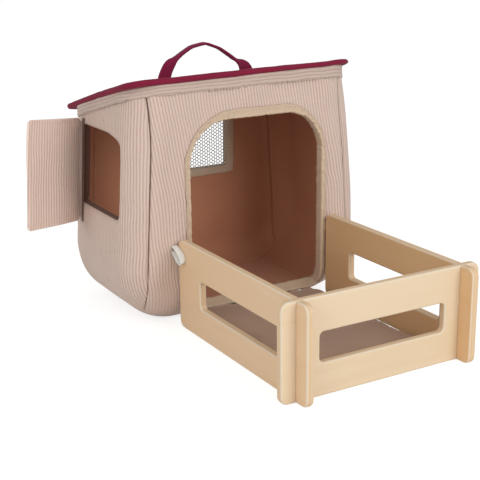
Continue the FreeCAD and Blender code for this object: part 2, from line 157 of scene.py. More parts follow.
class OpeningSizes(bpy.types.PropertyGroup):
    """Sizes of the doorway, the window and the hatch."""

    binding_width: length("Binding width", "Width of the tape on each face", 0.0095)
    binding_step: length("Binding step", "Length of one mesh column along the tape", 0.0016)
    doorway_sill: length("Doorway sill", "Height of the doorway's lower edge", 0.0105)
    doorway_top_radius: length("Doorway top radius", "Radius of the doorway's upper corners", 0.050)
    doorway_bottom_radius: length("Doorway bottom radius", "Radius of the doorway's lower corners", 0.010)
    doorway_pucker: length("Doorway pucker", "Height of the puckers in the doorway's tape", 0.0011)
    window_radius: length("Window radius", "Radius of the window's corners", 0.004)
    window_tape: length("Window tape", "Width of the tape round the window", 0.0095)
    window_pucker: length("Window pucker", "Height of the puckers in the window's tape", 0.0003)
    side_share: share("Side share", "Width of the doorway's tape at its sides", 0.5)
    hatch_radius: length("Hatch radius", "Radius of the hatch's small corners", 0.007)
    hatch_front_radius: length("Hatch front radius", "Radius of the hatch's front top corner", 0.009)
    hatch_facing: length("Hatch facing", "Thickness of the facing in the hatch", 0.001)
    hatch_cut_reach: length("Hatch cut reach", "Length of the hatch's sloping front top corner", 0.038)
    hatch_cut_drop: length("Hatch cut drop", "Height of the hatch's sloping front top corner", 0.0067)
    net_pitch: length("Net pitch", "Width of one gap of the net and its strand", 0.0070)
    net_row: length("Net row", "Height of one row of the net", 0.0022)
    net_strand: length("Net strand", "Width of the net's strands", 0.0008)
    net_thickness: length("Net thickness", "Thickness of the net's strands", 0.0005)


class RoofSizes(bpy.types.PropertyGroup):
    """Sizes of the roof, its band and the carrying strap."""

    thickness: length("Roof thickness", "Thickness of the padded roof", 0.0072)
    hang: length("Hang", "How far the roof's padding reaches below the walls' tops", 0.0008)
    front_overhang: length("Front overhang", "How far the roof stands out at the front", 0.007)
    back_overhang: length("Back overhang", "How far the roof stands out at the back", 0.005)
    left_overhang: length("Left overhang", "How far the roof stands out at the left", 0.0074)
    right_overhang: length("Right overhang", "How far the roof stands out at the right", -0.004)
    front_radius: length("Front radius", "Radius of the roof's front corners", 0.026)
    back_radius: length("Back radius", "Radius of the roof's back corners", 0.015)
    crown: length("Crown", "How much the padding swells in the middle of the roof", 0.0009)
    dip: length("Dip", "How far the roof sags left of its middle", 0.0013)
    lift: length("Lift", "How far the roof rises at its right end", 0.0020)
    spread: length("Spread", "How much further the roof reaches right at its back", 0.0085)
    droop: length("Droop", "How far the roof's front left corner hangs", 0.0025)
    band_tuck: length("Band tuck", "How far the band reaches up into the roof's padding", 0.0012)
    band_height: length("Band height", "Height of the band under the roof", 0.013)
    band_lift: length("Band lift", "How far the band stands off the walls", 0.0010)
    strap_half_span: length("Strap half span", "Half the distance between the strap's ends", 0.057)


class FlapSizes(bpy.types.PropertyGroup):
    """Sizes of the hatch's flap and of the strip at its hinge."""

    thickness: length("Flap thickness", "Thickness of the padded flap", 0.0034)
    radius: length("Flap radius", "Radius of the flap's corners", 0.007)
    hinge_lap: length("Hinge lap", "How far the flap reaches behind its hinge", 0.002)
    reach: length("Reach", "How far the flap reaches from its hinge", 0.1125)
    foot: length("Foot", "Height of the flap's lower edge at its hinge", 0.102)
    height: length("Height", "Height of the flap", 0.126)
    climb: length("Climb", "How much the flap climbs to its free edge", 0.010)
    curl: length("Curl", "How far the flap curls out of flat", 0.0022)
    rib_pitch: length("Rib pitch", "Width of one rib on the flap", 0.0053)
    strip_start: length("Strip start", "Distance from the hinge to the strip's edge at the hatch", 0.0105)
    strip_end: length("Strip end", "Distance from the hinge to the strip's edge at the flap", 0.0042)
    board_margin: length("Board margin", "How far the flap's board lies in from its edge", 0.008)
    board_thickness: length("Board thickness", "Thickness of the flap's board", 0.0008)


class PenSizes(bpy.types.PropertyGroup):
    """Sizes of the mat and of the tape loops."""

    mat_corner: length("Mat corner", "Radius of the mat's corners", 0.018)
    mat_edge: length("Mat edge", "How far in the mat's rounded edge reaches", 0.011)
    mat_voxel: length("Mat voxel", "Mesh size of the mat's cloth", 0.005)
    mat_swell: length("Mat swell", "The most that the padding pushes the cloth out", 0.004)
    mat_tuck: length("Mat tuck", "How far the mat reaches into the doorway", 0.0175)
    mat_curl: length("Mat curl", "How far the mat's back edge curls up at the doorway's sill", 0.0062)
    loop_reach: length("Loop reach", "How far the tape loops stand out from the wall", 0.0215)
    loop_height: length("Loop height", "Height of the tape loops", 0.0175)


class StableColours(bpy.types.PropertyGroup):
    """Colours of every finish."""

    rib_crown: tint("Rib crown", "Corduroy on top of its ribs", 222, 200, 187)
    # Darker than the crowns as painted shade between the ribs
    rib_valley: tint("Rib valley", "Corduroy between its ribs", 160, 132, 119)
    lining: tint("Lining", "Brown lining cloth", 192, 135, 105)
    # Darker than the lining it is turned from, as painted shade in the hatch's jamb and in the gap at the
    # flap's hinge
    facing: tint("Facing", "Lining turned through the hatch", 112, 80, 68)
    window_tape: tint("Window tape", "Tape round the window", 204, 184, 160)
    # Painted highlight on the panels' rounded rims
    wood_rim_highlight: tint("Wood rim", "Sanded rims of the panels", 226, 216, 199)
    wood_layer: tint("Wood layer", "Inner layers on the panels' cut edges", 226, 182, 132)
    wood_cut: tint("Wood cut", "Outer layers on the panels' cut edges", 214, 198, 172)
    base: tint("Base", "Cloth under the stall", 112, 90, 78)
    roof: tint("Roof", "Wine red roof cloth", 126, 19, 52)
    strap: tint("Strap", "Wine red strap", 126, 19, 60)
    binding: tint("Binding", "Beige tape", 200, 177, 152)
    net: tint("Net", "Dark grey net", 78, 76, 74)
    wood_pale: tint("Pale wood", "Plywood between its growth lines", 229, 208, 178)
    wood_dark: tint("Dark wood", "Plywood at its growth lines", 215, 183, 142)
    mat: tint("Mat", "Taupe mat", 173, 140, 116)
    tape: tint("Tape", "White tape", 238, 237, 232)
    board: tint("Board", "Stiff foam board", 222, 218, 208)
    thread: tint("Thread", "Sewing thread on the corduroy", 176, 156, 142)
    roof_thread: tint("Roof thread", "Sewing thread on the roof", 104, 22, 52)


class StageSettings(bpy.types.PropertyGroup):
    """Camera and light."""

    camera_place: spot("Camera place", "Where the camera stands", -0.61287, -1.12018, 0.44470)
    camera_azimuth: turn("Camera azimuth", "How far the camera looks to the right of the back wall", 30.078)
    camera_elevation: turn("Camera elevation", "How far the camera looks down", 16.631)
    camera_roll: turn("Camera roll", "How far the camera leans", -0.720)
    camera_lens: bpy.props.FloatProperty(
        name="Lens", description="Focal length on a 36 mm sensor", default=79.07, subtype="DISTANCE_CAMERA"
    )
    floor_size: length("Floor size", "Half the side of the floor", 30.0)
    floor: tint("Floor", "Pale floor", 244, 244, 243)
    sky: share("Sky", "Strength of the even light from all round", 0.57)
    lamp_size: length("Lamp size", "Width of both lights", 1.3)
    key_place: spot("Key place", "Where the front light stands", 0.52, -2.14, 1.02)
    key_power: power("Key power", "Power of the front light", 18.6)
    fill_place: spot("Fill place", "Where the side light stands", -1.7, -0.9, 0.9)
    fill_power: power("Fill power", "Power of the side light", 9.4)


def stall_sizes():
    return bpy.context.scene.stable_stall


def opening_sizes():
    return bpy.context.scene.stable_openings


def roof_sizes():
    return bpy.context.scene.stable_roof


def colours():
    return bpy.context.scene.stable_colours


# Shaders


class Shade:
    """A socket in a node tree that can stand in a Python expression; each operation adds a Math node."""

    def __init__(self, tree, socket=None):
        self.tree = tree
        self.socket = socket

    def node(self, kind, settings=None, inputs=None, output=0):
        """Adds a node: its settings first, then the values or links of its sockets."""
        made = self.tree.nodes.new(kind)
        for key, value in (settings or {}).items():
            setattr(made, key, value)
        for key, value in (inputs or {}).items():
            socket = find_socket(made.inputs, key)
            if isinstance(value, Shade):
                self.tree.links.new(value.socket, socket)
            else:
                socket.default_value = value
        return Shade(self.tree, find_socket(made.outputs, output) if made.outputs else None)

    def math(self, operation, first, second=0.0):
        return self.node("ShaderNodeMath", {"operation": operation}, {0: first, 1: second})

    def __add__(self, other):
        return self.math("ADD", self, other)

    __radd__ = __add__

    def __sub__(self, other):
        return self.math("SUBTRACT", self, other)

    def __rsub__(self, other):
        return self.math("SUBTRACT", other, self)

    def __mul__(self, other):
        return self.math("MULTIPLY", self, other)

    __rmul__ = __mul__

    def __pow__(self, other):
        return self.math("POWER", self, other)

    def wave(self):
        return self.math("SINE", self)

    def mix(self, factor, low, high):
        """A colour from low to high, by a factor from 0 to 1 that is a number or a socket."""
        ends = {"Factor_Float": factor, "A_Color": low, "B_Color": high}
        return self.node("ShaderNodeMix", {"data_type": "RGBA"}, ends, "Result_Color")

    def between(self, low, high):
        """A colour that goes from low to high as this value goes from 0 to 1."""
        return self.mix(self, low, high)

    def stretched(self, *factors):
        """This vector with each part multiplied."""
        return self.node("ShaderNodeVectorMath", {"operation": "MULTIPLY"}, {0: self, 1: factors}, "Vector")

    def part(self, axis):
        return self.node("ShaderNodeSeparateXYZ", {}, {"Vector": self}, axis)

    def grain(self, scale, detail=2.0, roughness=0.5, distortion=0.0):
        """Noise over this vector, from 0 to 1."""
        sockets = {
            "Vector": self,
            "Scale": scale,
            "Detail": detail,
            "Roughness": roughness,
            "Distortion": distortion,
        }
        return self.node("ShaderNodeTexNoise", {}, sockets, "Fac")


def find_socket(sockets, key):
    """A socket by its place, its name or its identifier."""
    if isinstance(key, int):
        return sockets[key]
    return next(socket for socket in sockets if key in (socket.identifier, socket.name))


def rgba(colour):
    return (*colour, 1.0)


def scaled(colour, factor):
    return rgba(tuple(min(1.0, level * factor) for level in colour))


def new_material(name):
    material = bpy.data.materials.new(name)
    material.use_nodes = True
    material.node_tree.nodes.clear()
    return material, Shade(material.node_tree)


def close_material(shade, colour, roughness, relief, strength, distance, fixed):
    """Ends a material: what varies goes to colour, roughness and bump, and fixed values go straight on."""
    normal = shade.node("ShaderNodeBump", {}, {"Height": relief, "Strength": strength, "Distance": distance})
    sockets = {"Base Color": colour, "Roughness": roughness, "Normal": normal, **fixed}
    shader = shade.node("ShaderNodeBsdfPrincipled", {}, sockets)
    shade.node("ShaderNodeOutputMaterial", {}, {"Surface": shader})


def cloth_place(shade):
    """Where a point lies on its cloth, in millimetres: across, along and the height of its rib."""
    return shade.node("ShaderNodeAttribute", {"attribute_name": "cloth"}, output="Vector")


def corduroy(name, crown_light_share=1.0, valley_light_share=1.0):
    """Ribbed pile: crowns paler with wear, valleys painted darker as shade between the ribs, and a nap along
    the ribs.

    A rib's height below 0 marks painted shade in a seam's crease.
    """
    material, shade = new_material(name)
    # Light shares above 1 paint light on a piece's corduroy, and shares below 1 paint shade on it
    crown = scaled(colours().rib_crown, crown_light_share)[:3]
    valley = scaled(colours().rib_valley, valley_light_share)[:3]
    place = cloth_place(shade)
    rib = place.part("Z")
    nap = place.stretched(1.1, 0.16, 0.0).grain(1.0, 4.0, 0.65)
    blotch = place.stretched(0.028, 0.02, 0.0).grain(1.0, 3.0, 0.55)
    # Painted shade: the lower a point lies on its rib, the darker it is painted, with the nap mixed in
    rib_shade_and_nap = rib * 0.86 + nap * 0.5 - 0.22
    base = rib_shade_and_nap.between(rgba(valley), rgba(crown))
    pale_marks = blotch.between(scaled(crown, 0.86), scaled(crown, 1.08))
    pile = (rib * 0.16 + 0.1).between(base, pale_marks)
    # Painted shade in a seam's crease, where the rib value is below 0
    colour = (rib * -1.0).between(pile, scaled(valley, 0.3))
    roughness = 0.98 - nap * 0.14
    relief = nap + place.stretched(4.2, 3.6, 0.0).grain(1.0, 2.0) * 0.5
    fixed = {"Sheen Weight": 0.22, "Sheen Roughness": 0.55, "Specular IOR Level": 0.18}
    close_material(shade, colour, roughness, relief, 0.32, 0.00035, fixed)
    return material


def woven(name, colour, pitch=0.55, contrast=0.16, sheen=0.12, roughness=0.86, blotches=0.18):
    """Plain weave: threads over and under each other, with uneven dye, and painted paler where the cloth's
    third value is set: a painted highlight on the doorway tape's rolled lip, and a paler band inside the
    mat's edge.
    """
    material, shade = new_material(name)
    place = cloth_place(shade)
    across = place.part("X") * (math.pi / pitch)
    along = place.part("Y") * (math.pi / pitch)
    over = across.wave() * along.wave() * 0.5 + 0.5
    warp = place.stretched(0.9, 0.12, 0.0).grain(1.0, 3.0)
    weft = place.stretched(0.12, 0.9, 0.0).grain(1.0, 3.0)
    slub = warp * 0.5 + weft * 0.5
    dye = place.stretched(0.022, 0.022, 0.0).grain(1.0, 3.0, 0.6)
    tone = over * 0.45 + slub * 0.75 - 0.1
    threads = tone.between(scaled(colour, 1 - contrast), scaled(colour, 1 + contrast))
    uneven = dye.between(scaled(colour, 0.8), scaled(colour, 1.18))
    dyed = shade.mix(blotches, threads, uneven)
    # Painted paleness where the cloth's third value is set: a painted highlight on the doorway tape's lip,
    # and the mat's paler edge band
    mixed = place.part("Z").between(dyed, scaled(colour, 1.45))
    relief = over + slub * 0.6
    fixed = {"Sheen Weight": sheen, "Sheen Roughness": 0.5, "Specular IOR Level": 0.25}
    close_material(shade, mixed, roughness + slub * 0.08, relief, 0.3, 0.0003, fixed)
    return material


def plywood(name, along, through, shade_tint):
    """Pale birch plywood: faint figure along the grain, a painted highlight on its rounded rims, a painted
    shade tint on some panels, and layers on its cut edges.
    """
    material, shade = new_material(name)
    sets = colours()
    place = shade.node("ShaderNodeTexCoord", {}, output="Object")
    facing = shade.node("ShaderNodeTexCoord", {}, output="Normal").part(through)
    coarse = [7.0, 7.0, 7.0]
    coarse["XYZ".index(along)] = 0.7
    fine = [420.0, 420.0, 420.0]
    fine["XYZ".index(along)] = 16.0
    figure = place.stretched(*coarse).grain(2.4, 5.0, 0.6, 1.4)
    rings = (figure * 26.0).wave() * 0.5 + 0.5
    pores = place.stretched(*fine).grain(1.0, 3.0, 0.7)
    cloud = place.stretched(6.0, 6.0, 6.0).grain(1.0, 2.0)
    tone = rings * 0.12 + figure * 0.3 + pores * 0.16 + cloud * 0.3 - 0.2
    # Painted shade: each panel's wood is tinted by its shade tint
    pale, dark = [rgba(np.multiply(colour, shade_tint)) for colour in (sets.wood_pale, sets.wood_dark)]
    face = tone.between(pale, dark)
    layers = (place.part(through) * (2 * math.pi / layer_pitch)).wave() * 0.5 + 0.5
    edge = (layers * 0.8 + pores * 0.2).between(rgba(sets.wood_cut), rgba(sets.wood_layer))
    flat = facing * facing
    sawn = (1.0 - flat * 3.0).between(face, edge)
    # Painted highlight: faces turned partway between a panel's face and its cut edge, on the rounded rims,
    # are painted pale
    rim = 1.0 - (flat - 0.45) ** 2.0 * 7.0
    colour = (rim * 0.8).between(sawn, rgba(sets.wood_rim_highlight))
    roughness = 0.46 + pores * 0.16
    fixed = {"Specular IOR Level": 0.34, "Coat Roughness": 0.35, "Coat Weight": 0.05}
    close_material(shade, colour, roughness, pores + rings * 0.1, 0.1, 0.0003, fixed)
    return material


def foam(name, colour):
    """Closed-cell board with a fine pebbled skin."""
    material, shade = new_material(name)
    place = shade.node("ShaderNodeTexCoord", {}, output="Object")
    cells = place.grain(900.0, 2.0)
    shaded = cells.between(scaled(colour, 0.9), scaled(colour, 1.05))
    close_material(shade, shaded, 0.7 + cells * 0.2, cells, 0.3, 0.0002, {"Specular IOR Level": 0.3})
    return material


# Meshes


def ripple(across, along, scale, seed):
    """Smooth random waves, mostly between -1 and 1, alike on every run."""
    draw = np.random.RandomState(seed)
    total = np.zeros(np.broadcast(across, along).shape)
    for _ in range(wave_count):
        heading, phase = draw.uniform(0, 2 * math.pi, 2)
        number = 2 * math.pi / scale * draw.uniform(0.55, 1.45)
        total += np.sin(number * (across * math.cos(heading) + along * math.sin(heading)) + phase)
    return total / math.sqrt(wave_count)


def bell(distance, width):
    return np.exp(-((distance / width) ** 2))


def smooth(value, low, high):
    """Eases from 0 to 1 as a value goes from low to high."""
    part = np.clip((value - low) / (high - low), 0, 1)
    return part * part * (3 - 2 * part)


def way_along(points):
    """Distance run along a line of points, at each of them."""
    return np.concatenate([[0], np.cumsum(np.linalg.norm(np.diff(points, axis=0), axis=1))])


def softened(stations, way, count, rounds):
    """A line of stations with more points and its bends rounded off, and the way run at each point."""
    ways = np.linspace(0, way[-1], count)
    line = np.stack([np.interp(ways, way, column) for column in stations.T], axis=-1)
    for _ in range(rounds):
        line[1:-1] = (line[:-2] + 2 * line[1:-1] + line[2:]) / 4
    return line, ways


def plain_cloth(across, along):
    """Places on a cloth without ribs or painted paleness."""
    return np.stack([across, along, 0 * across], axis=-1)


def grid_faces(rows, columns, keep=None, flip=False, wrap=False):
    """Quads of a grid of points, row by row. Wrap joins its last column to its first."""
    index = np.arange(rows * columns).reshape(rows, columns)
    ahead = np.roll(index, -1, axis=1) if wrap else index[:, 1:]
    here = index if wrap else index[:, :-1]
    quads = np.stack([here[:-1], ahead[:-1], ahead[1:], here[1:]], axis=-1)
    if keep is not None:
        quads = quads[keep]
    quads = quads.reshape(-1, 4)
    return quads[:, ::-1] if flip else quads


def mark_cloth(mesh, cloth):
    """Keeps each point's place on its cloth, in millimetres, and a third value: the rib's height on corduroy,
    below 0 a painted seam shade, and on plain cloth how much paler it is painted.
    """
    places = cloth * (to_millimetres, to_millimetres, 1.0)
    attribute = mesh.attributes.new("cloth", "FLOAT_VECTOR", "POINT")
    attribute.data.foreach_set("vector", places.astype(np.float32).ravel())
    mesh.shade_smooth()


def mesh_piece(name, points, faces, cloth):
    """A smooth mesh object. Cloth holds each point's place on its cloth, in metres, and its third value: rib
    height with painted seam shade on corduroy, painted paleness on plain cloth.
    """
    used, faces = np.unique(faces, return_inverse=True)
    faces = faces.reshape(-1, 4)
    points = points.reshape(-1, 3)[used]
    mesh = bpy.data.meshes.new(name)
    mesh.from_pydata(points.tolist(), [], faces.tolist())
    mark_cloth(mesh, cloth.reshape(-1, 3)[used])
    piece = bpy.data.objects.new(name, mesh)
    bpy.context.scene.collection.objects.link(piece)
    return piece


def points_of(mesh):
    places = np.zeros(len(mesh.vertices) * 3, np.float32)
    mesh.vertices.foreach_get("co", places)
    return places.reshape(-1, 3)


def move_points(mesh, places):
    mesh.vertices.foreach_set("co", places.astype(np.float32).ravel())


def join_meshes(name, parts):
    """Several grids, each as points, faces and cloth, as one mesh piece."""
    points, faces, cloth = [], [], []
    start = 0
    for part_points, part_faces, part_cloth in parts:
        flat = part_points.reshape(-1, 3)
        points.append(flat)
        cloth.append(part_cloth.reshape(-1, 3))
        faces.append(part_faces + start)
        start += len(flat)
    return mesh_piece(name, np.concatenate(points), np.concatenate(faces), np.concatenate(cloth))


def weld(piece, distance=1e-6):
    """Merges points that lie on each other, where two sheets of one piece meet."""
    work = bmesh.new()
    work.from_mesh(piece.data)
    bmesh.ops.remove_doubles(work, verts=work.verts, dist=distance)
    bmesh.ops.recalc_face_normals(work, faces=work.faces)
    work.to_mesh(piece.data)
    work.free()
    piece.data.shade_smooth()


def thicken(piece, thickness, offset=-1.0):
    """Gives a sheet its thickness, inwards from the side that shows."""
    solid = piece.modifiers.new("thickness", "SOLIDIFY")
    solid.thickness = thickness
    solid.offset = offset
    return piece


def dress(piece, body, slot, material, *nodes):
    """Puts a piece on its body, in its finish, in place of its plain solids."""
    piece.data.materials.clear()
    piece.data.materials.append(material)
    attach(piece, body)
    if nodes:
        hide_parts(*nodes)
    return piece


class Stall:
    """The stall's outer form as four sheets: across and level are distances over each wall's surface."""

    floor_gap = 0.0003
    foot_samples = 80
    foot_seam_begin = math.radians(40)
    smallest_slope = 0.1
    belly_zone = (0.0, 0.07)
    right_lean_zone = (0.17, 0.30)
    right_side_zone = (0.095, 0.135)
    back_side_zone = (0.052, 0.088)
    back_lean_power = 1.3

    def __init__(self):
        sizes = stall_sizes()
        self.sizes = sizes
        axis = joints["flap_hinge"]["axis"]
        self.corner = sizes.corner_radius
        self.foot = sizes.foot_radius
        self.thickness = sizes.wall_thickness
        self.fall = sizes.roof_fall
        self.lean = axis[0] / axis[2]
        self.slant = math.hypot(1, self.lean)
        self.base_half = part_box("floor_board")[1].x + self.foot
        self.half_depth = -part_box("front_cover")[0].y
        self.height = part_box("front_cover")[1].z
        self.flat_depth = self.half_depth - self.corner
        self.foot_middle = self.base_half - self.lean * self.foot - self.foot * self.slant
        self.foot_turn = math.pi / 2 + math.atan(self.lean)
        self.hem = (math.pi / 2 - 1) * self.corner
        self.seam_turn = math.asin((self.corner - sizes.seam_offset) / self.corner)
        self.seam_foot()

    def seam_foot(self):
        """Where the corner seam runs over the rounded foot, on the front's sheet and on the side's."""
        inner = self.foot - self.corner
        turn = np.linspace(0, self.foot_turn, self.foot_samples)
        seam = self.edge("front", self.foot + self.hem) - self.foot_middle
        reach = seam / np.maximum(np.sin(turn) - self.lean * np.cos(turn), self.smallest_slope)
        bend = math.pi / 2 - (reach - inner) / self.corner
        begin = self.foot_seam_begin
        bend = np.where(turn < begin, np.interp(begin, turn, bend) * turn / begin, bend)
        reach = inner + self.corner * (math.pi / 2 - bend)
        self.side_foot = (self.flat_depth + self.corner * bend, self.foot * turn)
        low = turn <= begin
        across = self.foot_middle + reach * np.sin(turn)
        self.front_foot = (across[low], (self.foot - reach * np.cos(turn) + self.hem)[low])

    def faces_front(self, side):
        return side in ("front", "back")

    def level_of(self, side, z):
        """Distance up a wall, from the edge of the flat base, of a height."""
        z = np.asarray(z, float)
        if self.faces_front(side):
            bend = np.arcsin(np.clip(1 - z / self.corner, 0, 1))
            return np.maximum(z, self.corner) - self.corner * bend + self.hem
        turn = np.arccos(np.clip(1 - z / self.foot, math.cos(self.foot_turn), 1))
        above = z - self.foot * (1 - math.cos(self.foot_turn))
        return self.foot * turn + np.clip(above, 0, None) * self.slant

    def across_of(self, y):
        """Distance over a side wall, from its middle, of a depth."""
        bend = math.asin(min(1.0, max(0.0, abs(y) - self.flat_depth) / self.corner))
        return math.copysign(min(abs(y), self.flat_depth) + self.corner * bend, y)

    def underside(self, y):
        return self.height - self.fall * (y + self.half_depth)

    def edge(self, side, level):
        """Half the width of a wall's cover, from its middle to its seam."""
        level = np.asarray(level, float)
        if self.faces_front(side):
            z = level - self.hem
            flat = self.base_half - self.lean * z - self.corner * self.slant
            return flat + self.corner * self.seam_turn + self.flare(z)
        above = level - self.foot * self.foot_turn
        z = self.foot * (1 - math.cos(self.foot_turn)) + above / self.slant
        return self.flat_depth + self.corner * (math.pi / 2 - self.seam_turn) - self.flare(z)

    def flare(self, z):
        """How far a corner seam swings round to the side at a height."""
        start = self.sizes.flare_start
        return self.sizes.seam_flare * np.clip((z - start) / (self.height - start), 0, 1) ** 2

    def low_level(self, side, across):
        """Level of a wall's lower edge."""
        return np.interp(np.abs(across), *(self.front_foot if self.faces_front(side) else self.side_foot))

    def point(self, side, across, level, out):
        """Places points on a wall, or out from it."""
        across, level, out = np.broadcast_arrays(across, level, out)
        place = self.front_point if self.faces_front(side) else self.side_point
        x, y, z = place(np.abs(across), level, out)
        if self.faces_front(side):
            x, y = np.sign(across) * x, -y if side == "front" else y
        else:
            x, y = -x if side == "left" else x, np.sign(across) * y
        return np.stack([*self.leaned(x, y, z), np.maximum(z, self.floor_gap)], axis=-1)

    def front_point(self, across, level, out):
        high = level - self.hem
        from_x, from_z = across - self.foot_middle, high - self.foot
        far = np.maximum(np.hypot(from_x, from_z), 1e-9)
        upper = from_z > self.lean * from_x
        normal_x = np.select([upper, from_x <= 0], [1 / self.slant, 0.0], from_x / far)
        normal_z = np.select([upper, from_x <= 0], [self.lean / self.slant, -1.0], from_z / far)
        beyond = np.maximum(from_x * normal_x + from_z * normal_z - self.foot + self.corner, 0)
        bend = beyond / self.corner
        move = (self.corner + out) * np.sin(bend) - beyond
        deep = self.flat_depth + (self.corner + out) * np.cos(bend)
        return across + normal_x * move, deep, high + normal_z * move

    def side_point(self, across, level, out):
        turn = np.clip(level / self.foot, 0, self.foot_turn)
        above = np.clip(level - self.foot * self.foot_turn, 0, None) / self.slant
        bend = np.clip(across - self.flat_depth, 0, None) / self.corner
        move = (self.corner + out) * np.cos(bend) - self.corner
        x = self.foot_middle + (self.foot + move) * np.sin(turn) - self.lean * above
        z = self.foot - (self.foot + move) * np.cos(turn) + above
        return x, np.minimum(across, self.flat_depth) + (self.corner + out) * np.sin(bend), z

    def leaned(self, x, y, z):
        """The right wall swells out and then curves in towards its top, and the back wall leans in."""
        belly = self.sizes.right_belly * smooth(z, *self.belly_zone)
        swell = belly - self.sizes.right_lean * smooth(z, *self.right_lean_zone)
        back = self.sizes.back_lean * np.clip(z / self.height, 0, None) ** self.back_lean_power
        return x + swell * smooth(x, *self.right_side_zone), y - back * smooth(y, *self.back_side_zone)

    def top_level(self, side, across_at):
        """Level of the roof's underside over each column of a wall."""
        level = self.level_of(side, self.height)
        for _ in range(5):
            y = self.point(side, across_at(level), level, 0.0)[..., 1]
            level = self.level_of(side, self.underside(y))
        return level


def corner_cut(place, low, high, low_radius, high_radius):
    """How far a rounded rectangle draws in at a place along a side that runs from low to high."""
    near = np.clip(low + low_radius - place, 0, low_radius)
    far = np.clip(place - high + high_radius, 0, high_radius)
    at_low = low_radius - np.sqrt(low_radius**2 - near**2)
    at_high = high_radius - np.sqrt(high_radius**2 - far**2)
    return at_low + at_high


class Opening:
    """A rounded opening in a wall, measured over its surface. Radii go round from the low left corner."""

    def __init__(self, left, right, low, high, radii, square=False, cut_reach=0.0, cut_drop=0.0):
        self.left, self.right, self.low, self.high = left, right, low, high
        self.radii = radii
        self.square = square
        self.cut_reach, self.cut_drop = cut_reach, cut_drop

    def kept_height(self, across):
        """Share of its height that the opening keeps where its left top corner slopes down."""
        if not self.cut_drop:
            return 1.0
        part = np.clip((self.left + self.cut_reach - across) / self.cut_reach, 0, 1)
        return 1 - self.cut_drop / (self.high - self.low) * part**1.5

    def lower_edge(self, across):
        return self.low + corner_cut(across, self.left, self.right, self.radii[0], self.radii[1])

    def upper_edge(self, across):
        rounding = corner_cut(across, self.left, self.right, self.radii[3], self.radii[2])
        height = self.high - self.low - rounding
        return self.low + height * self.kept_height(across)

    def distance(self, across, level):
        """Distance from the opening's edge, positive outside it."""
        level = self.low + (level - self.low) / self.kept_height(across)
        middle_across = (self.left + self.right) / 2
        middle_level = (self.low + self.high) / 2
        upper = np.where(across < middle_across, self.radii[3], self.radii[2])
        lower = np.where(across < middle_across, self.radii[0], self.radii[1])
        radius = np.where(level < middle_level, lower, upper)
        side = np.abs(across - middle_across) - (self.right - self.left) / 2 + radius
        end = np.abs(level - middle_level) - (self.high - self.low) / 2 + radius
        outside = np.hypot(np.maximum(side, 0), np.maximum(end, 0))
        return np.minimum(np.maximum(side, end), 0) + outside - radius

    def outline(self, step):
        """Points round the edge, their outward directions, how curved the edge is there, and the way run."""
        corners = (
            (self.left, self.low, 1, 1),
            (self.right, self.low, -1, 1),
            (self.right, self.high, -1, -1),
            (self.left, self.high, 1, -1),
        )
        centres = [
            np.array([across + to_across * radius, level + to_level * radius])
            for (across, level, to_across, to_level), radius in zip(corners, self.radii)
        ]
        starts = (math.pi, 1.5 * math.pi, 0.0, 0.5 * math.pi)
        points, normals, curved = [], [], []
        for index, (centre, radius, start) in enumerate(zip(centres, self.radii, starts)):
            count = max(4, round(radius * math.pi / 2 / step))
            for count_index in range(count + 1):
                heading = start + math.pi / 2 * count_index / count
                normal = np.array([math.cos(heading), math.sin(heading)])
                points.append(centre + radius * normal)
                normals.append(normal)
                curved.append(1.0)
            following = (index + 1) % len(corners)
            ahead = centres[following] + self.radii[following] * normal
            count = max(2, round(float(np.linalg.norm(ahead - points[-1])) / step))
            begin = points[-1]
            for count_index in range(1, count):
                points.append(begin + (ahead - begin) * count_index / count)
                normals.append(normal)
                curved.append(0.0)
        points, normals = np.array(points), np.array(normals)
        points[:, 1] = self.low + (points[:, 1] - self.low) * self.kept_height(points[:, 0])
        run = way_along(points)
        if self.square:
            normals = normals / np.abs(normals).max(axis=1)[:, None]
        return points, normals, np.array(curved), run


def openings(stall):
    """The doorway, window and hatch, with their edges taken from the packed pieces."""
    sizes = opening_sizes()
    tape = sizes.binding_width
    low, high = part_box("doorway_binding")
    levels = [float(stall.level_of("front", z)) for z in (sizes.doorway_sill, high.z - tape)]
    lower, upper = sizes.doorway_bottom_radius, sizes.doorway_top_radius
    doorway = Opening(low.x + tape, high.x - tape, *levels, (lower, lower, upper, upper))
    low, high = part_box("window_net")
    levels = [float(stall.level_of("back", z)) for z in (low.z, high.z)]
    window = Opening(low.x, high.x, *levels, (sizes.window_radius,) * 4, square=True)
    low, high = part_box("hatch_facing")
    facing = sizes.hatch_facing
    levels = [float(stall.level_of("left", z)) for z in (low.z + facing, high.z - facing)]
    ends = [stall.across_of(y) for y in (low.y + facing, high.y - facing)]
    small, large = sizes.hatch_radius, sizes.hatch_front_radius
    cut = {"cut_reach": sizes.hatch_cut_reach, "cut_drop": sizes.hatch_cut_drop}
    hatch = Opening(*ends, *levels, (small, small, small, large), **cut)
    return {"front": doorway, "back": window, "left": hatch, "right": None}


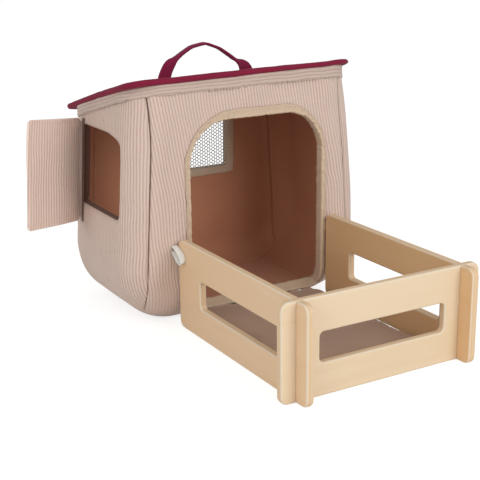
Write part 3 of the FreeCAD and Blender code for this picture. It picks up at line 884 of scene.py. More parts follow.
def wall_sheet(stall, side, opening, column_step, row_step):
    """Across, level and kept faces of one wall's grid, with its columns meeting the opening's edges."""
    middle = float(stall.level_of(side, stall.height / 2))
    edge = float(stall.edge(side, middle))
    shape = opening
    if shape is None:
        span = edge / 2
        shape = Opening(-span, span, middle - span, middle + span, (span / 4,) * 4)
    knots = (-edge, shape.left, shape.right, edge)
    counts = [max(2, round((knots[i + 1] - knots[i]) / column_step)) for i in range(3)]
    group = np.concatenate([np.full(count, i) for i, count in enumerate(counts)] + [[2]])
    part = np.concatenate([np.arange(count) / count for count in counts] + [[1.0]])

    def across_at(level):
        edges = stall.edge(side, np.broadcast_to(level, np.broadcast(level, part).shape))
        start = np.select([group == 0, group == 1], [-edges, shape.left], shape.right)
        end = np.select([group == 0, group == 1], [shape.left, shape.right], edges)
        return start + part * (end - start)

    inside = np.clip(across_at(middle), shape.left, shape.right)
    lower = shape.lower_edge(inside)
    upper = shape.upper_edge(inside)
    top = stall.top_level(side, across_at)
    foot = 0 * part
    for _ in range(4):
        foot = stall.low_level(side, across_at(foot))
    spans = (lower - foot, upper - lower, top - upper)
    rows = [max(3, round(float(np.max(span)) / row_step)) for span in spans]
    steps = [np.linspace(0, 1, count + 1)[:, None] for count in rows]
    level = np.concatenate(
        [(foot + spans[0] * steps[0])[:-1], (lower + spans[1] * steps[1])[:-1], upper + spans[2] * steps[2]]
    )
    keep = np.ones((sum(rows), sum(counts)), bool)
    if opening is not None:
        keep[rows[0] : rows[0] + rows[1], counts[0] : counts[0] + counts[1]] = False
    return across_at(level), level, keep


def ribs(across, along, seed, pitch, short_wander=0.05, long_wander=0.2, pressed_length=0.1):
    """Height of the corduroy's ribs, from 0 in a valley to 1 on a crown.

    They wander a little over short and long lengths, and lie flat in places.
    """
    wander = 0.12 * ripple(across, along, short_wander, seed)
    wander = wander + 0.22 * ripple(across, along, long_wander, seed + 1)
    rib = np.abs(np.sin(math.pi * (across / pitch + wander))) ** rib_roundness
    pressed = 0.6 * smooth(ripple(across, along, pressed_length, seed + 2), 0.2, 1.4)
    return rib + pressed * (0.7 - rib)


def soft_relief(stall, side, across, level, opening, seed, crease):
    """Soft waves of a wall, drawn in at its seams and beside its opening, and still at its foot.

    The left wall stays low, so that the flap can shut over it.
    """
    sizes = stall_sizes()
    foot_zone = (0.008, 0.060)
    roll_place, roll_width = 0.011, 0.008
    crease_width = 0.0026
    pucker_start = 0.006
    left_limit = 0.0003
    edge = stall.edge(side, level) - np.abs(across)
    settled = smooth(stall.point(side, across, level, 0.0)[..., 2], *foot_zone)
    seam = crease * (0.5 * bell(edge - roll_place, roll_width) - bell(edge, crease_width))
    waves = sizes.wave_height * ripple(across, level, sizes.wave_length, seed) * (1 - bell(edge, calm_width))
    if opening is not None:
        distance = np.maximum(opening.distance(across, level), 0)
        waves = waves * (1 - bell(distance, calm_width))
        fade = np.exp(-distance / sizes.pucker_length)
        puckers = fade * ripple(across, level, sizes.pucker_length, seed + 1)
        waves = waves + sizes.pucker_height * puckers * smooth(distance, 0.0, pucker_start)
    relief = settled * (seam + waves)
    return np.minimum(relief, left_limit) if side == "left" else relief


def board_of(side):
    """The stiff board that a wall's cloth lies on."""
    return f"{side}_stiffener" if side in leaning else f"{side}_board"


def stretch(piece, across, level, keep, *rests_on):
    """Works out the area that a piece's cut measures laid flat, but keeps nothing."""
    wide = (across[1:, 1:] - across[1:, :-1] + across[:-1, 1:] - across[:-1, :-1]) / 2
    tall = (level[1:, 1:] - level[:-1, 1:] + level[1:, :-1] - level[:-1, :-1]) / 2
    area = float(np.abs(wide * tall)[keep].sum())


def edge_tape(name, stall, side, opening, profile, pucker, thickness, side_share=1.0):
    """Cloth folded round the edge of an opening.

    The profile gives each fold's distance from the edge, and how far out it lies.
    """
    gather_length, sway_length, lip_length = 0.0062, 0.021, 0.0075
    lip_place, lip_width = 0.0010, 0.0012
    points, normals, curved, run = opening.outline(opening_sizes().binding_step)
    reach = np.array([fold[0] for fold in profile])[:, None]
    out = np.array([fold[1] for fold in profile])[:, None]
    gather = pucker * (0.45 + 0.55 * curved) * ripple(run, 0 * run, gather_length, 11)
    sway = 0.5 * pucker * ripple(run, 0 * run, sway_length, 12)
    lip = 0.55 * pucker * (0.4 + 0.6 * curved) * ripple(run, 0 * run, lip_length, 13)
    loose = np.clip(reach / opening_sizes().binding_width, 0, 1)
    facing_out = np.where(out > -stall.thickness / 2, 1.0, -1.0)
    offset = reach * narrowing(opening, points, side_share) + sway * loose + lip * (1 - loose) ** 2
    across = points[:, 0] + normals[:, 0] * offset
    level = points[:, 1] + normals[:, 1] * offset
    puffed = facing_out * gather * np.sin(math.pi * np.clip(loose + 0.15, 0, 1))
    placed = stall.point(side, across, level, out + puffed)
    along = way_along(np.array(profile))[:, None]
    # Painted highlight along the rolled inner lip of the doorway's tape
    pale_marks = 0.55 * bell(reach - lip_place, lip_width) * (out > 0) * (side_share < 1)
    cloth = np.stack(np.broadcast_arrays(along, run, pale_marks), axis=-1)
    flip = side in ("front", "right")
    piece = mesh_piece(name, placed, grid_faces(*placed.shape[:2], flip=flip, wrap=True), cloth)
    return thicken(piece, thickness)


def narrowing(opening, points, side_share):
    """Share of its width that a tape has at each point round an opening, less at its sides."""
    left_start, right_start = 0.012, 0.006
    full_width = 0.06
    left = 1 - smooth(points[:, 0], opening.left + left_start, opening.left + full_width)
    right = smooth(points[:, 0], opening.right - full_width, opening.right - right_start)
    return 1 - (1 - side_share) * np.maximum(left, right)


def rounded_pad(x0, x1, y0, y1, radii, rim, step):
    """Grid over a rounded rectangle, close at its rim: places, and the distance in from the rim."""

    def spaced(size):
        near = rim * (1 - np.cos(np.linspace(0, math.pi / 2, 6)))
        count = max(2, round((size - 2 * rim) / step))
        inner = np.linspace(rim, size - rim, count + 1)
        return np.concatenate([near[:-1], inner, (size - near[:-1])[::-1]])

    along = spaced(y1 - y0) + y0
    share_across = spaced(x1 - x0) / (x1 - x0)
    shape = Opening(x0, x1, y0, y1, radii)
    low_left, low_right, high_right, high_left = radii
    left = x0 + corner_cut(along, y0, y1, low_left, high_left)
    right = x1 - corner_cut(along, y0, y1, low_right, high_right)
    x = left[:, None] + (right - left)[:, None] * share_across[None, :]
    y = np.broadcast_to(along[:, None], x.shape)
    inward = np.maximum(-shape.distance(x, y), 0)
    return x, y, inward


def round_rim(inward, rim):
    """Height of a rounded rim, from 0 at the edge to 1 where it is full."""
    part = np.clip(inward / rim, 0, 1)
    return np.sqrt(1 - (1 - part) ** 2)


def stitches(name, points, normals, body, slot, material, size=0.0030, gap=0.0014, radius=0.00032):
    """A row of sewn stitches along a line: short rounded threads that dip at both ends."""
    run = way_along(points)
    count = max(1, int(run[-1] / (size + gap)))
    rings, sides = 5, 6
    parts = []
    for index in range(count):
        ways = (index + np.linspace(0.0, size / (size + gap), rings)) * run[-1] / count
        line = np.stack([np.interp(ways, run, points[:, axis]) for axis in range(3)], axis=-1)
        up = np.stack([np.interp(ways, run, normals[:, axis]) for axis in range(3)], axis=-1)
        up /= np.linalg.norm(up, axis=1)[:, None]
        ahead = np.gradient(line, axis=0)
        aside = np.cross(up, ahead)
        aside /= np.maximum(np.linalg.norm(aside, axis=1), 1e-9)[:, None]
        bulge = np.sin(np.linspace(0.12, math.pi - 0.12, rings)) ** 0.5
        around = np.linspace(0, 2 * math.pi, sides, endpoint=False)
        ring = (
            line[:, None, :]
            + up[:, None, :] * (radius * (bulge[:, None] * (0.5 + np.sin(around)) - 0.3))[..., None]
            + aside[:, None, :] * (radius * bulge[:, None] * np.cos(around))[..., None]
        )
        cloth = np.zeros(ring.shape)
        cloth[..., 1] = ways[:, None]
        parts.append((ring, grid_faces(rings, sides, wrap=True), cloth))
    piece = join_meshes(name, parts)
    return dress(piece, body, slot, material)


# Pieces


class PieceOperator(bpy.types.Operator):
    """Makes one group of pieces."""

    bl_options = {"REGISTER", "UNDO"}


class STABLE_OT_stage(PieceOperator):
    """Sets the floor, the soft light and the camera"""

    bl_idname = "stable.stage"
    bl_label = "Stage"
    floor_glow = 1.5
    glow_share = 0.5
    clip_start = 0.05
    clip_end = 200.0

    def execute(self, context):
        stage = context.scene.stable_stage
        context.scene.view_settings.view_transform = "Standard"
        self.add_floor(stage)
        self.add_sky(stage)
        self.add_lamp("key_lamp", stage.key_place, stage.lamp_size, stage.key_power)
        self.add_lamp("fill_lamp", stage.fill_place, stage.lamp_size, stage.fill_power)
        self.add_camera(stage)
        return {"FINISHED"}

    def add_floor(self, stage):
        """Pale floor that looks nearly white to the camera and keeps the object's shadow."""
        size = stage.floor_size
        mesh = bpy.data.meshes.new("floor")
        corners = [(-size, -size, 0), (size, -size, 0), (size, size, 0), (-size, size, 0)]
        mesh.from_pydata(corners, [], [(0, 1, 2, 3)])
        floor = bpy.data.objects.new("floor", mesh)
        bpy.context.scene.collection.objects.link(floor)
        material, shade = new_material("floor")
        seen = shade.node("ShaderNodeLightPath", {}, output="Is Camera Ray")
        matt = shade.node("ShaderNodeBsdfDiffuse", {}, {"Color": rgba(stage.floor)})
        glow = {"Color": rgba((1.0, 1.0, 1.0)), "Strength": self.floor_glow}
        white = shade.node("ShaderNodeEmission", {}, glow)
        both = shade.node("ShaderNodeMixShader", {}, {0: seen * self.glow_share, 1: matt, 2: white})
        shade.node("ShaderNodeOutputMaterial", {}, {"Surface": both})
        mesh.materials.append(material)

    def add_sky(self, stage):
        """Even light from all round, which the camera and mirrors see as white."""
        world = bpy.data.worlds.new("sky")
        world.use_nodes = True
        world.node_tree.nodes.clear()
        shade = Shade(world.node_tree)
        seen = shade.node("ShaderNodeLightPath", {}, output="Is Camera Ray")
        strength = seen * (1.0 - stage.sky) + stage.sky
        light = shade.node("ShaderNodeBackground", {}, {"Color": rgba((1.0, 1.0, 1.0)), "Strength": strength})
        shade.node("ShaderNodeOutputWorld", {}, {"Surface": light})
        bpy.context.scene.world = world

    def add_lamp(self, name, place, size, power):
        lamp = bpy.data.lights.new(name, "AREA")
        lamp.shape = "DISK"
        lamp.size = size
        lamp.energy = power
        holder = bpy.data.objects.new(name, lamp)
        middle = (cad_low + cad_high) / 2
        holder.location = place
        holder.rotation_euler = (middle - Vector(place)).to_track_quat("-Z", "Y").to_euler()
        bpy.context.scene.collection.objects.link(holder)

    def add_camera(self, stage):
        data = bpy.data.cameras.new("camera")
        data.lens = stage.camera_lens
        data.clip_start, data.clip_end = self.clip_start, self.clip_end
        camera = bpy.data.objects.new("camera", data)
        bpy.context.scene.collection.objects.link(camera)
        around, down, roll = stage.camera_azimuth, stage.camera_elevation, stage.camera_roll
        reach = math.cos(down)
        ahead = Vector((math.sin(around) * reach, math.cos(around) * reach, -math.sin(down)))
        level = ahead.cross(Vector((0, 0, 1))).normalized()
        above = level.cross(ahead)
        right = math.cos(roll) * level + math.sin(roll) * above
        up = math.cos(roll) * above - math.sin(roll) * level
        pose = Matrix((right, up, -ahead)).transposed().to_4x4()
        pose.translation = Vector(stage.camera_place)
        camera.matrix_world = pose
        bpy.context.scene.camera = camera


class STABLE_OT_walls(PieceOperator):
    """Makes the four corduroy covers of the walls"""

    bl_idname = "stable.walls"
    bl_label = "Corduroy walls"
    right_seam_share = 0.55
    seam_painted_shade = 1.1

    def execute(self, context):
        stall = Stall()
        material = corduroy("corduroy")
        sizes = stall_sizes()
        for seed, (side, opening) in enumerate(openings(stall).items()):
            rows = sizes.front_row_step if side == "front" else sizes.row_step
            across, level, keep = wall_sheet(stall, side, opening, sizes.column_step, rows)
            lean = sizes.rib_lean * level + sizes.rib_bend * np.maximum(level - sizes.rib_bend_start, 0)
            rib = ribs(across + lean * (side == "front"), level, 20 + 3 * seed, sizes.rib_pitch)
            relief = soft_relief(stall, side, across, level, opening, 30 + 3 * seed, sizes.crease_depth)
            left_seam = stall.point(side, across, level, 0)[..., 0] < 0
            strength = np.where(left_seam, 1.0, self.right_seam_share)
            seam = strength * bell(stall.edge(side, level) - np.abs(across), sizes.seam_width)
            out = sizes.rib_height * (rib - 1) + relief
            # Below 0 the rib value paints shade into the seam's crease; the right seams get less of it
            rib = rib * (1 - seam) - self.seam_painted_shade * seam
            points = stall.point(side, across, level, out)
            cloth = np.stack([across, level, rib], axis=-1)
            faces = grid_faces(*across.shape, keep, flip=side in ("back", "left"))
            piece = thicken(mesh_piece(f"{side}_wall", points, faces, cloth), sizes.cover_thickness)
            dress(piece, "house", "corduroy", material, f"{side}_cover")
            stretch(piece, across, level, keep, board_of(side))
        return {"FINISHED"}


class STABLE_OT_linings(PieceOperator):
    """Makes the brown lining of the walls, floor and roof, the hatch's facing and the cloth under the base"""

    bl_idname = "stable.linings"
    bl_label = "Linings"
    wall_gap = 0.0006
    wave_share = 0.7
    floor_corner = 0.004
    floor_step = 0.006
    floor_wave = 0.0006
    floor_wave_length = 0.07
    floor_calm = 0.01
    base_gap = 0.0002
    roof_side_margin = 0.007
    roof_end_margin = 0.004
    roof_corners = (0.030, 0.030, 0.012, 0.012)
    roof_step = 0.007
    roof_gap = 0.0014
    roof_sag = 0.0005
    roof_sag_length = 0.08
    facing_pucker = 0.0003
    facing_thickness = 0.0006

    def execute(self, context):
        stall = Stall()
        material = woven("lining_cloth", colours().lining)
        sizes = stall_sizes()
        found = openings(stall)
        for seed, (side, opening) in enumerate(found.items()):
            across, level, keep = wall_sheet(stall, side, opening, sizes.plain_step, sizes.row_step)
            waves = soft_relief(stall, side, across, level, opening, 60 + 3 * seed, 0.0)
            inwards = stall.thickness + self.wall_gap + self.wave_share * waves
            points = stall.point(side, across, level, -inwards)
            faces = grid_faces(*across.shape, keep, flip=side in ("front", "right"))
            piece = mesh_piece(f"{side}_inside", points, faces, plain_cloth(across, level))
            thicken(piece, sizes.lining_thickness)
            dress(piece, "house", "lining", material, f"{side}_lining")
            stretch(piece, across, level, keep, board_of(side))
        self.add_floor_cloths(stall, material)
        self.add_roof_lining(stall, material)
        self.add_hatch_facing(stall, found["left"])
        return {"FINISHED"}

    def add_floor_cloths(self, stall, material):
        """Lining on the floor board, and the plain cloth under the base."""
        half_width, half_depth = stall.foot_middle, stall.flat_depth
        flat = (2 * half_width, 2 * half_depth)
        ends = (-half_width, half_width, -half_depth, half_depth)
        x, y, inward = rounded_pad(*ends, (self.floor_corner,) * 4, self.floor_corner, self.floor_step)
        cloth = plain_cloth(x, y)
        waves = self.floor_wave * (1 + ripple(x, y, self.floor_wave_length, 91))
        waves = waves * (1 - bell(inward, self.floor_calm))
        faces = grid_faces(*x.shape)
        inside = np.stack([x, y, stall.thickness + self.wall_gap + waves], axis=-1)
        piece = thicken(mesh_piece("floor_inside", inside, faces, cloth), stall_sizes().lining_thickness)
        dress(piece, "house", "lining", material, "floor_lining")
        under = np.stack([x, y, self.base_gap + 0.5 * waves], axis=-1)
        base = woven("base_cloth", colours().base)
        piece = thicken(mesh_piece("base_cloth", under, faces[:, ::-1], cloth), stall_sizes().cover_thickness)
        dress(piece, "house", "base_cloth", base, "base_cover")

    def add_roof_lining(self, stall, material):
        """Lining under the roof board."""
        roof = RoofFrame(stall)
        half = roof.half_width - self.roof_side_margin
        margin = self.roof_end_margin
        ends = (-half, half, margin, roof.depth - margin)
        x, d, inward = rounded_pad(*ends, self.roof_corners, margin, self.roof_step)
        waves = (1 + ripple(x, d, self.roof_sag_length, 95)) * (1 - bell(inward, calm_width))
        points = roof.place(x, d, -self.roof_gap - self.roof_sag * waves)
        piece = mesh_piece("roof_inside", points, grid_faces(*x.shape, flip=True), plain_cloth(x, d))
        dress(thicken(piece, stall_sizes().lining_thickness), "house", "lining", material, "roof_lining")
        flat = (2 * half, roof.depth - 2 * margin)

    def add_hatch_facing(self, stall, hatch):
        """Lining turned through the wall round the hatch."""
        depth = stall.thickness
        folds = (
            (0.0010, -0.0022),
            (0.0002, -0.0018),
            (-0.0002, -0.0026),
            (-0.0003, -0.5 * depth),
            (-0.0002, -depth),
            (0.0004, -depth - 0.0014),
            (0.0030, -depth - 0.0016),
            (0.0046, -depth - 0.0008),
        )
        sewn = (self.facing_pucker, self.facing_thickness)
        piece = edge_tape("hatch_edge", stall, "left", hatch, folds, *sewn)
        # The facing is painted darker than the lining, as shade in the hatch's jamb
        material = woven("facing_cloth", colours().facing)
        dress(piece, "house", "lining", material, "hatch_facing")


class STABLE_OT_bindings(PieceOperator):
    """Makes the puckered tape round the doorway and the window"""

    bl_idname = "stable.bindings"
    bl_label = "Bindings"
    thickness = 0.0007
    finish = {"pitch": 0.4, "contrast": 0.26, "sheen": 0.2, "roughness": 0.66, "blotches": 0.55}
    stitch_step = 0.0022
    stitch_share = 0.80
    stitch_height = 0.0019
    outward_reach = 0.001

    def execute(self, context):
        stall = Stall()
        sizes = opening_sizes()
        sets = colours()
        found = openings(stall)
        tapes = {
            "doorway": ("front", sizes.binding_width, sizes.doorway_pucker, sizes.side_share, sets.binding),
            "window": ("back", sizes.window_tape, sizes.window_pucker, 1.0, sets.window_tape),
        }
        for name, (side, width, pucker, side_share, colour) in tapes.items():
            folds = self.folds(width, stall.thickness)
            sewn = (pucker, self.thickness, side_share)
            piece = edge_tape(f"{name}_tape", stall, side, found[side], folds, *sewn)
            material = woven(f"{name}_tape_cloth", colour, **self.finish)
            dress(piece, "house", "binding_tape", material, f"{name}_binding")
            corners = 4 * width
            run = float(found[side].outline(sizes.binding_step)[3][-1]) + corners
            2 * width + stall.thickness
        self.add_stitches(stall, found["front"])
        return {"FINISHED"}

    def add_stitches(self, stall, doorway):
        """The row of stitches that holds the doorway's tape."""
        sizes = opening_sizes()
        spots, normals, _, _ = doorway.outline(self.stitch_step)
        width = sizes.binding_width * narrowing(doorway, spots, sizes.side_share)
        across, level = (spots + normals * (self.stitch_share * width)[:, None]).T
        low = stall.point("front", across, level, self.stitch_height)
        outward = stall.point("front", across, level, self.stitch_height + self.outward_reach) - low
        thread = woven("tape_thread", colours().thread, pitch=thread_pitch)
        stitches("doorway_stitches", low, outward, "house", "binding_tape", thread)

    def folds(self, width, depth):
        """The tape's section: out over the corduroy, round the edge of the wall, and back over the lining."""
        leg = (
            (width, 0.0005),
            (width - 0.0003, 0.0010),
            (width - 0.0012, 0.0014),
            (0.75 * width, 0.0014),
            (0.5 * width, 0.0016),
            (0.25 * width, 0.0021),
            (0.0012, 0.0020),
            (0.0003, 0.0010),
            (0.0, -0.0004),
            (-0.0002, -0.35 * depth),
        )
        return leg + tuple((reach, -depth - out) for reach, out in reversed(leg))


class STABLE_OT_net(PieceOperator):
    """Makes the open net in the window"""

    bl_idname = "stable.net"
    bl_label = "Net"
    margin_share = 0.75
    knot_share = 0.36
    cloth_share = 0.5
    sag = 0.0006
    sag_length = 0.06
    weld_distance = 0.00005

    def execute(self, context):
        stall = Stall()
        sizes = opening_sizes()
        low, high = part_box("window_net")
        middle = (low + high) / 2
        margin = self.margin_share * sizes.net_pitch
        half_width = (high.x - low.x) / 2 + margin
        half_height = (high.z - low.z) / 2 + margin
        knot = self.knot_share * sizes.net_pitch
        outer = self.gap_corners((sizes.net_pitch - knot) / 2, knot / 2, sizes.net_row)
        inner = outer * (1 - sizes.net_strand / sizes.net_pitch, 1 - 0.5 * sizes.net_strand / sizes.net_row)
        ring = np.concatenate([inner, outer])
        faces = np.array([(i, (i + 1) % 6, 6 + (i + 1) % 6, 6 + i) for i in range(6)])
        parts = []
        rows, columns = int(half_height / sizes.net_row), int(half_width / sizes.net_pitch)
        for row in range(-rows, rows + 1):
            shift = 0.5 * sizes.net_pitch * (row % 2)
            for column in range(-columns, columns + 1):
                place = np.array([column * sizes.net_pitch + shift, row * sizes.net_row])
                spots = ring + place
                across, level = spots.T
                sag = self.sag * ripple(across, level, self.sag_length, 71)
                x, y, z = middle.x + across, middle.y + sag, middle.z + level
                points = np.stack([*stall.leaned(x, y, z), z], axis=-1)
                parts.append((points, faces, plain_cloth(across, level)))
        piece = join_meshes("net", parts)
        weld(piece, self.weld_distance)
        thicken(piece, sizes.net_thickness, 0.0)
        material = woven("net_yarn", colours().net, pitch=0.25, contrast=0.2, sheen=0.05, roughness=0.7)
        dress(piece, "house", "net", material, "window_net")
        return {"FINISHED"}

    def gap_corners(self, half_width, half_knot, reach):
        """Corners of one six-sided gap, with its points left and right."""
        upper = np.array([(half_width, 0.0), (half_knot, reach), (-half_knot, reach)])
        return np.concatenate([upper, -upper])


class RoofFrame:
    """The roof's own directions: x across it, d down its slope from the front, h up from its underside."""

    spread_zone = (0.09, 0.14)
    lift_zone = (0.085, 0.15)
    droop_zone = (0.035, 0.115)
    droop_depth = 0.07
    dip_place = -0.040
    dip_width = 0.045

    def __init__(self, stall):
        sizes = roof_sizes()
        self.sizes = sizes
        self.stall = stall
        self.pitch = math.atan(stall.fall)
        self.half_width = stall.base_half - stall.lean * stall.height
        self.left = -self.half_width - sizes.left_overhang
        self.right = self.half_width + sizes.right_overhang
        self.front = -sizes.front_overhang / math.cos(self.pitch)
        self.depth = 2 * stall.half_depth / math.cos(self.pitch)
        self.back = (2 * stall.half_depth + sizes.back_overhang) / math.cos(self.pitch)

    def place(self, x, d, h):
        h = h + self.rise(x, d)
        x = x + self.sizes.spread * smooth(x, *self.spread_zone) * np.clip(d / self.depth, 0, 1)
        y = -self.stall.half_depth + d * math.cos(self.pitch) + h * math.sin(self.pitch)
        z = self.stall.height - d * math.sin(self.pitch) + h * math.cos(self.pitch)
        return np.stack(np.broadcast_arrays(x, y, z), axis=-1)

    def rise(self, x, d):
        """How far the soft roof lies above flat.

        It is up at its right end, and down left of its middle and at its front left corner.
        """
        lift = self.sizes.lift * smooth(x, *self.lift_zone)
        dip = self.sizes.dip * bell(x - self.dip_place, self.dip_width)
        corner = self.sizes.droop * smooth(-x, *self.droop_zone) * bell(d, self.droop_depth)
        return lift - dip - corner

    def stitch_round(self, name, shape, step, inset, height, thread, **lengths):
        """A row of stitches on the roof, inside the edge of a rounded shape."""
        spots, normals, _, _ = shape.outline(step)
        inside = spots - inset * normals
        inside = np.concatenate([inside, inside[:1]])
        line = self.place(inside[:, 0], inside[:, 1], height)
        up = np.broadcast_to((0.0, math.sin(self.pitch), math.cos(self.pitch)), line.shape)
        stitches(name, line, up, "house", "roof_cloth", thread, **lengths)


class STABLE_OT_roof(PieceOperator):
    """Makes the padded roof with its sewn edge"""

    bl_idname = "stable.roof"
    bl_label = "Roof"
    step = 0.004
    stitch_inset = 0.0075
    stitch_step = 0.003
    stitch_sink = 0.0004
    wave_height = 0.0003
    wave_length = 0.05
    wave_calm = 0.012
    swell_width = 0.020
    groove_depth = 0.0007
    groove_width = 0.0012
    flutter_height = 0.00015
    flutter_length = 0.022
    flutter_width = 0.006
    under_share = 0.94
    thinner_share = 0.3
    thinner_zone = (-0.03, 0.12)

    def execute(self, context):
        roof = RoofFrame(Stall())
        sizes = roof_sizes()
        half = sizes.thickness / 2
        radii = (sizes.front_radius, sizes.front_radius, sizes.back_radius, sizes.back_radius)
        ends = (roof.left, roof.right, roof.front, roof.back)
        x, d, inward = rounded_pad(*ends, radii, half, self.step)
        rim = round_rim(inward, half)
        waves = self.wave_height * ripple(x, d, self.wave_length, 41) * (1 - bell(inward, self.wave_calm))
        past_seam = inward - self.stitch_inset
        swell = sizes.crown * (1 - np.exp(-np.maximum(past_seam, 0) / self.swell_width))
        groove = self.groove_depth * bell(past_seam, self.groove_width)
        loose = bell(inward, self.flutter_width)
        flutter = self.flutter_height * loose * ripple(x, d, self.flutter_length, 42) - sizes.hang
        top = half + half * rim + swell + waves - groove + flutter
        thinner = self.thinner_share * smooth(x, *self.thinner_zone)
        bottom = half - half * rim * (self.under_share - thinner) + flutter
        cloth = plain_cloth(x, d)
        faces = grid_faces(*x.shape)
        sheets = [(roof.place(x, d, top), faces, cloth), (roof.place(x, d, bottom), faces[:, ::-1], cloth)]
        piece = join_meshes("roof", sheets)
        weld(piece)
        material = woven("roof_cloth", colours().roof, **roof_finish)
        dress(piece, "house", "roof_cloth", material, "roof_cover")
        edge = Opening(*ends, radii)
        height = sizes.thickness - sizes.hang - self.stitch_sink
        thread = woven("roof_thread", colours().roof_thread, pitch=thread_pitch)
        roof.stitch_round("roof_stitches", edge, self.stitch_step, self.stitch_inset, height, thread)
        return {"FINISHED"}


class STABLE_OT_band(PieceOperator):
    """Makes the band that is sewn on under the roof, with level ribs"""

    bl_idname = "stable.band"
    bl_label = "Band"
    # Painted shade: the band's corduroy is painted darker than the walls', the same cloth, as shade under the
    # roof
    crown_light_share = 0.84
    valley_light_share = 0.9
    row_count = 40
    step = 0.0022
    thickness = 0.0012
    wander_height = 0.0004
    wander_length = 0.05
    gather_length = 0.009
    gather_out = 0.00045
    gather_drop = 0.0006
    sway_height = 0.0004
    sway_length = 0.06
    sway_span = 0.03
    stitch_row = 2
    stitch_lift = 0.0003

    def execute(self, context):
        stall = Stall()
        sizes = roof_sizes()
        material = corduroy("band_corduroy", self.crown_light_share, self.valley_light_share)
        place, outward, run = self.girth(stall)
        rows = np.linspace(0, 1, self.row_count)[:, None]
        drop = sizes.band_height * (1 - rows)
        wander = self.wander_height * ripple(run, 0 * run, self.wander_length, 51)
        rib = np.abs(np.sin(math.pi * (drop + wander) / stall_sizes().rib_pitch)) ** rib_roundness
        gather = ripple(run, 0 * run, self.gather_length, 52)
        sway = self.sway_height * ripple(run, rows * self.sway_span, self.sway_length, 53)
        tucked = bell(rows, 0.09)
        out = sizes.band_lift + stall_sizes().rib_height * rib - 0.9 * sizes.band_lift * tucked
        out = out + self.gather_out * gather * bell(rows, 0.35) + sway
        drop = drop + self.gather_drop * gather * bell(rows, 0.3)
        roof = RoofFrame(stall)
        rise = roof.rise(place[:, 0], (place[:, 1] + stall.half_depth) / math.cos(roof.pitch))
        hidden = sizes.band_tuck * rows**4
        z = stall.underside(place[:, 1]) + rise * (1 - 0.6 * drop / sizes.band_height) - drop + hidden
        x, y = stall.leaned(place[:, 0] + outward[:, 0] * out, place[:, 1] + outward[:, 1] * out, z)
        points = np.stack(np.broadcast_arrays(x, y, z), axis=-1)
        cloth = np.stack(np.broadcast_arrays(drop, run, rib), axis=-1)
        faces = grid_faces(*points.shape[:2], flip=True, wrap=True)
        piece = thicken(mesh_piece("roof_band_cloth", points, faces, cloth), self.thickness)
        dress(piece, "house", "corduroy", material, "roof_band")
        [f"{side}_wall" for side in openings(stall)]
        thread = woven("thread", colours().thread, pitch=thread_pitch)
        line = points[self.stitch_row]
        line = np.concatenate([line, line[:1]])
        up = np.concatenate([outward, outward[:1]])
        up = np.concatenate([up, np.zeros((len(up), 1))], axis=1)
        stitches("band_stitches", line + up * self.stitch_lift, up, "house", "corduroy", thread)
        return {"FINISHED"}

    def girth(self, stall):
        """Points round the walls just under the roof, with their outward directions."""
        z = stall.height - stall.fall * stall.half_depth
        radius = stall.corner
        half_width = stall.base_half - stall.lean * z
        loop = Opening(-half_width, half_width, -stall.half_depth, stall.half_depth, (radius,) * 4)
        spots, normals, _, run = loop.outline(self.step)
        height = stall.underside(spots[:, 1])
        wider = stall.lean * (z - height) * np.sign(spots[:, 0]) * np.abs(normals[:, 0]).round(3)
        spots = spots + np.stack([wider, 0 * wider], axis=-1)
        return spots, normals, run


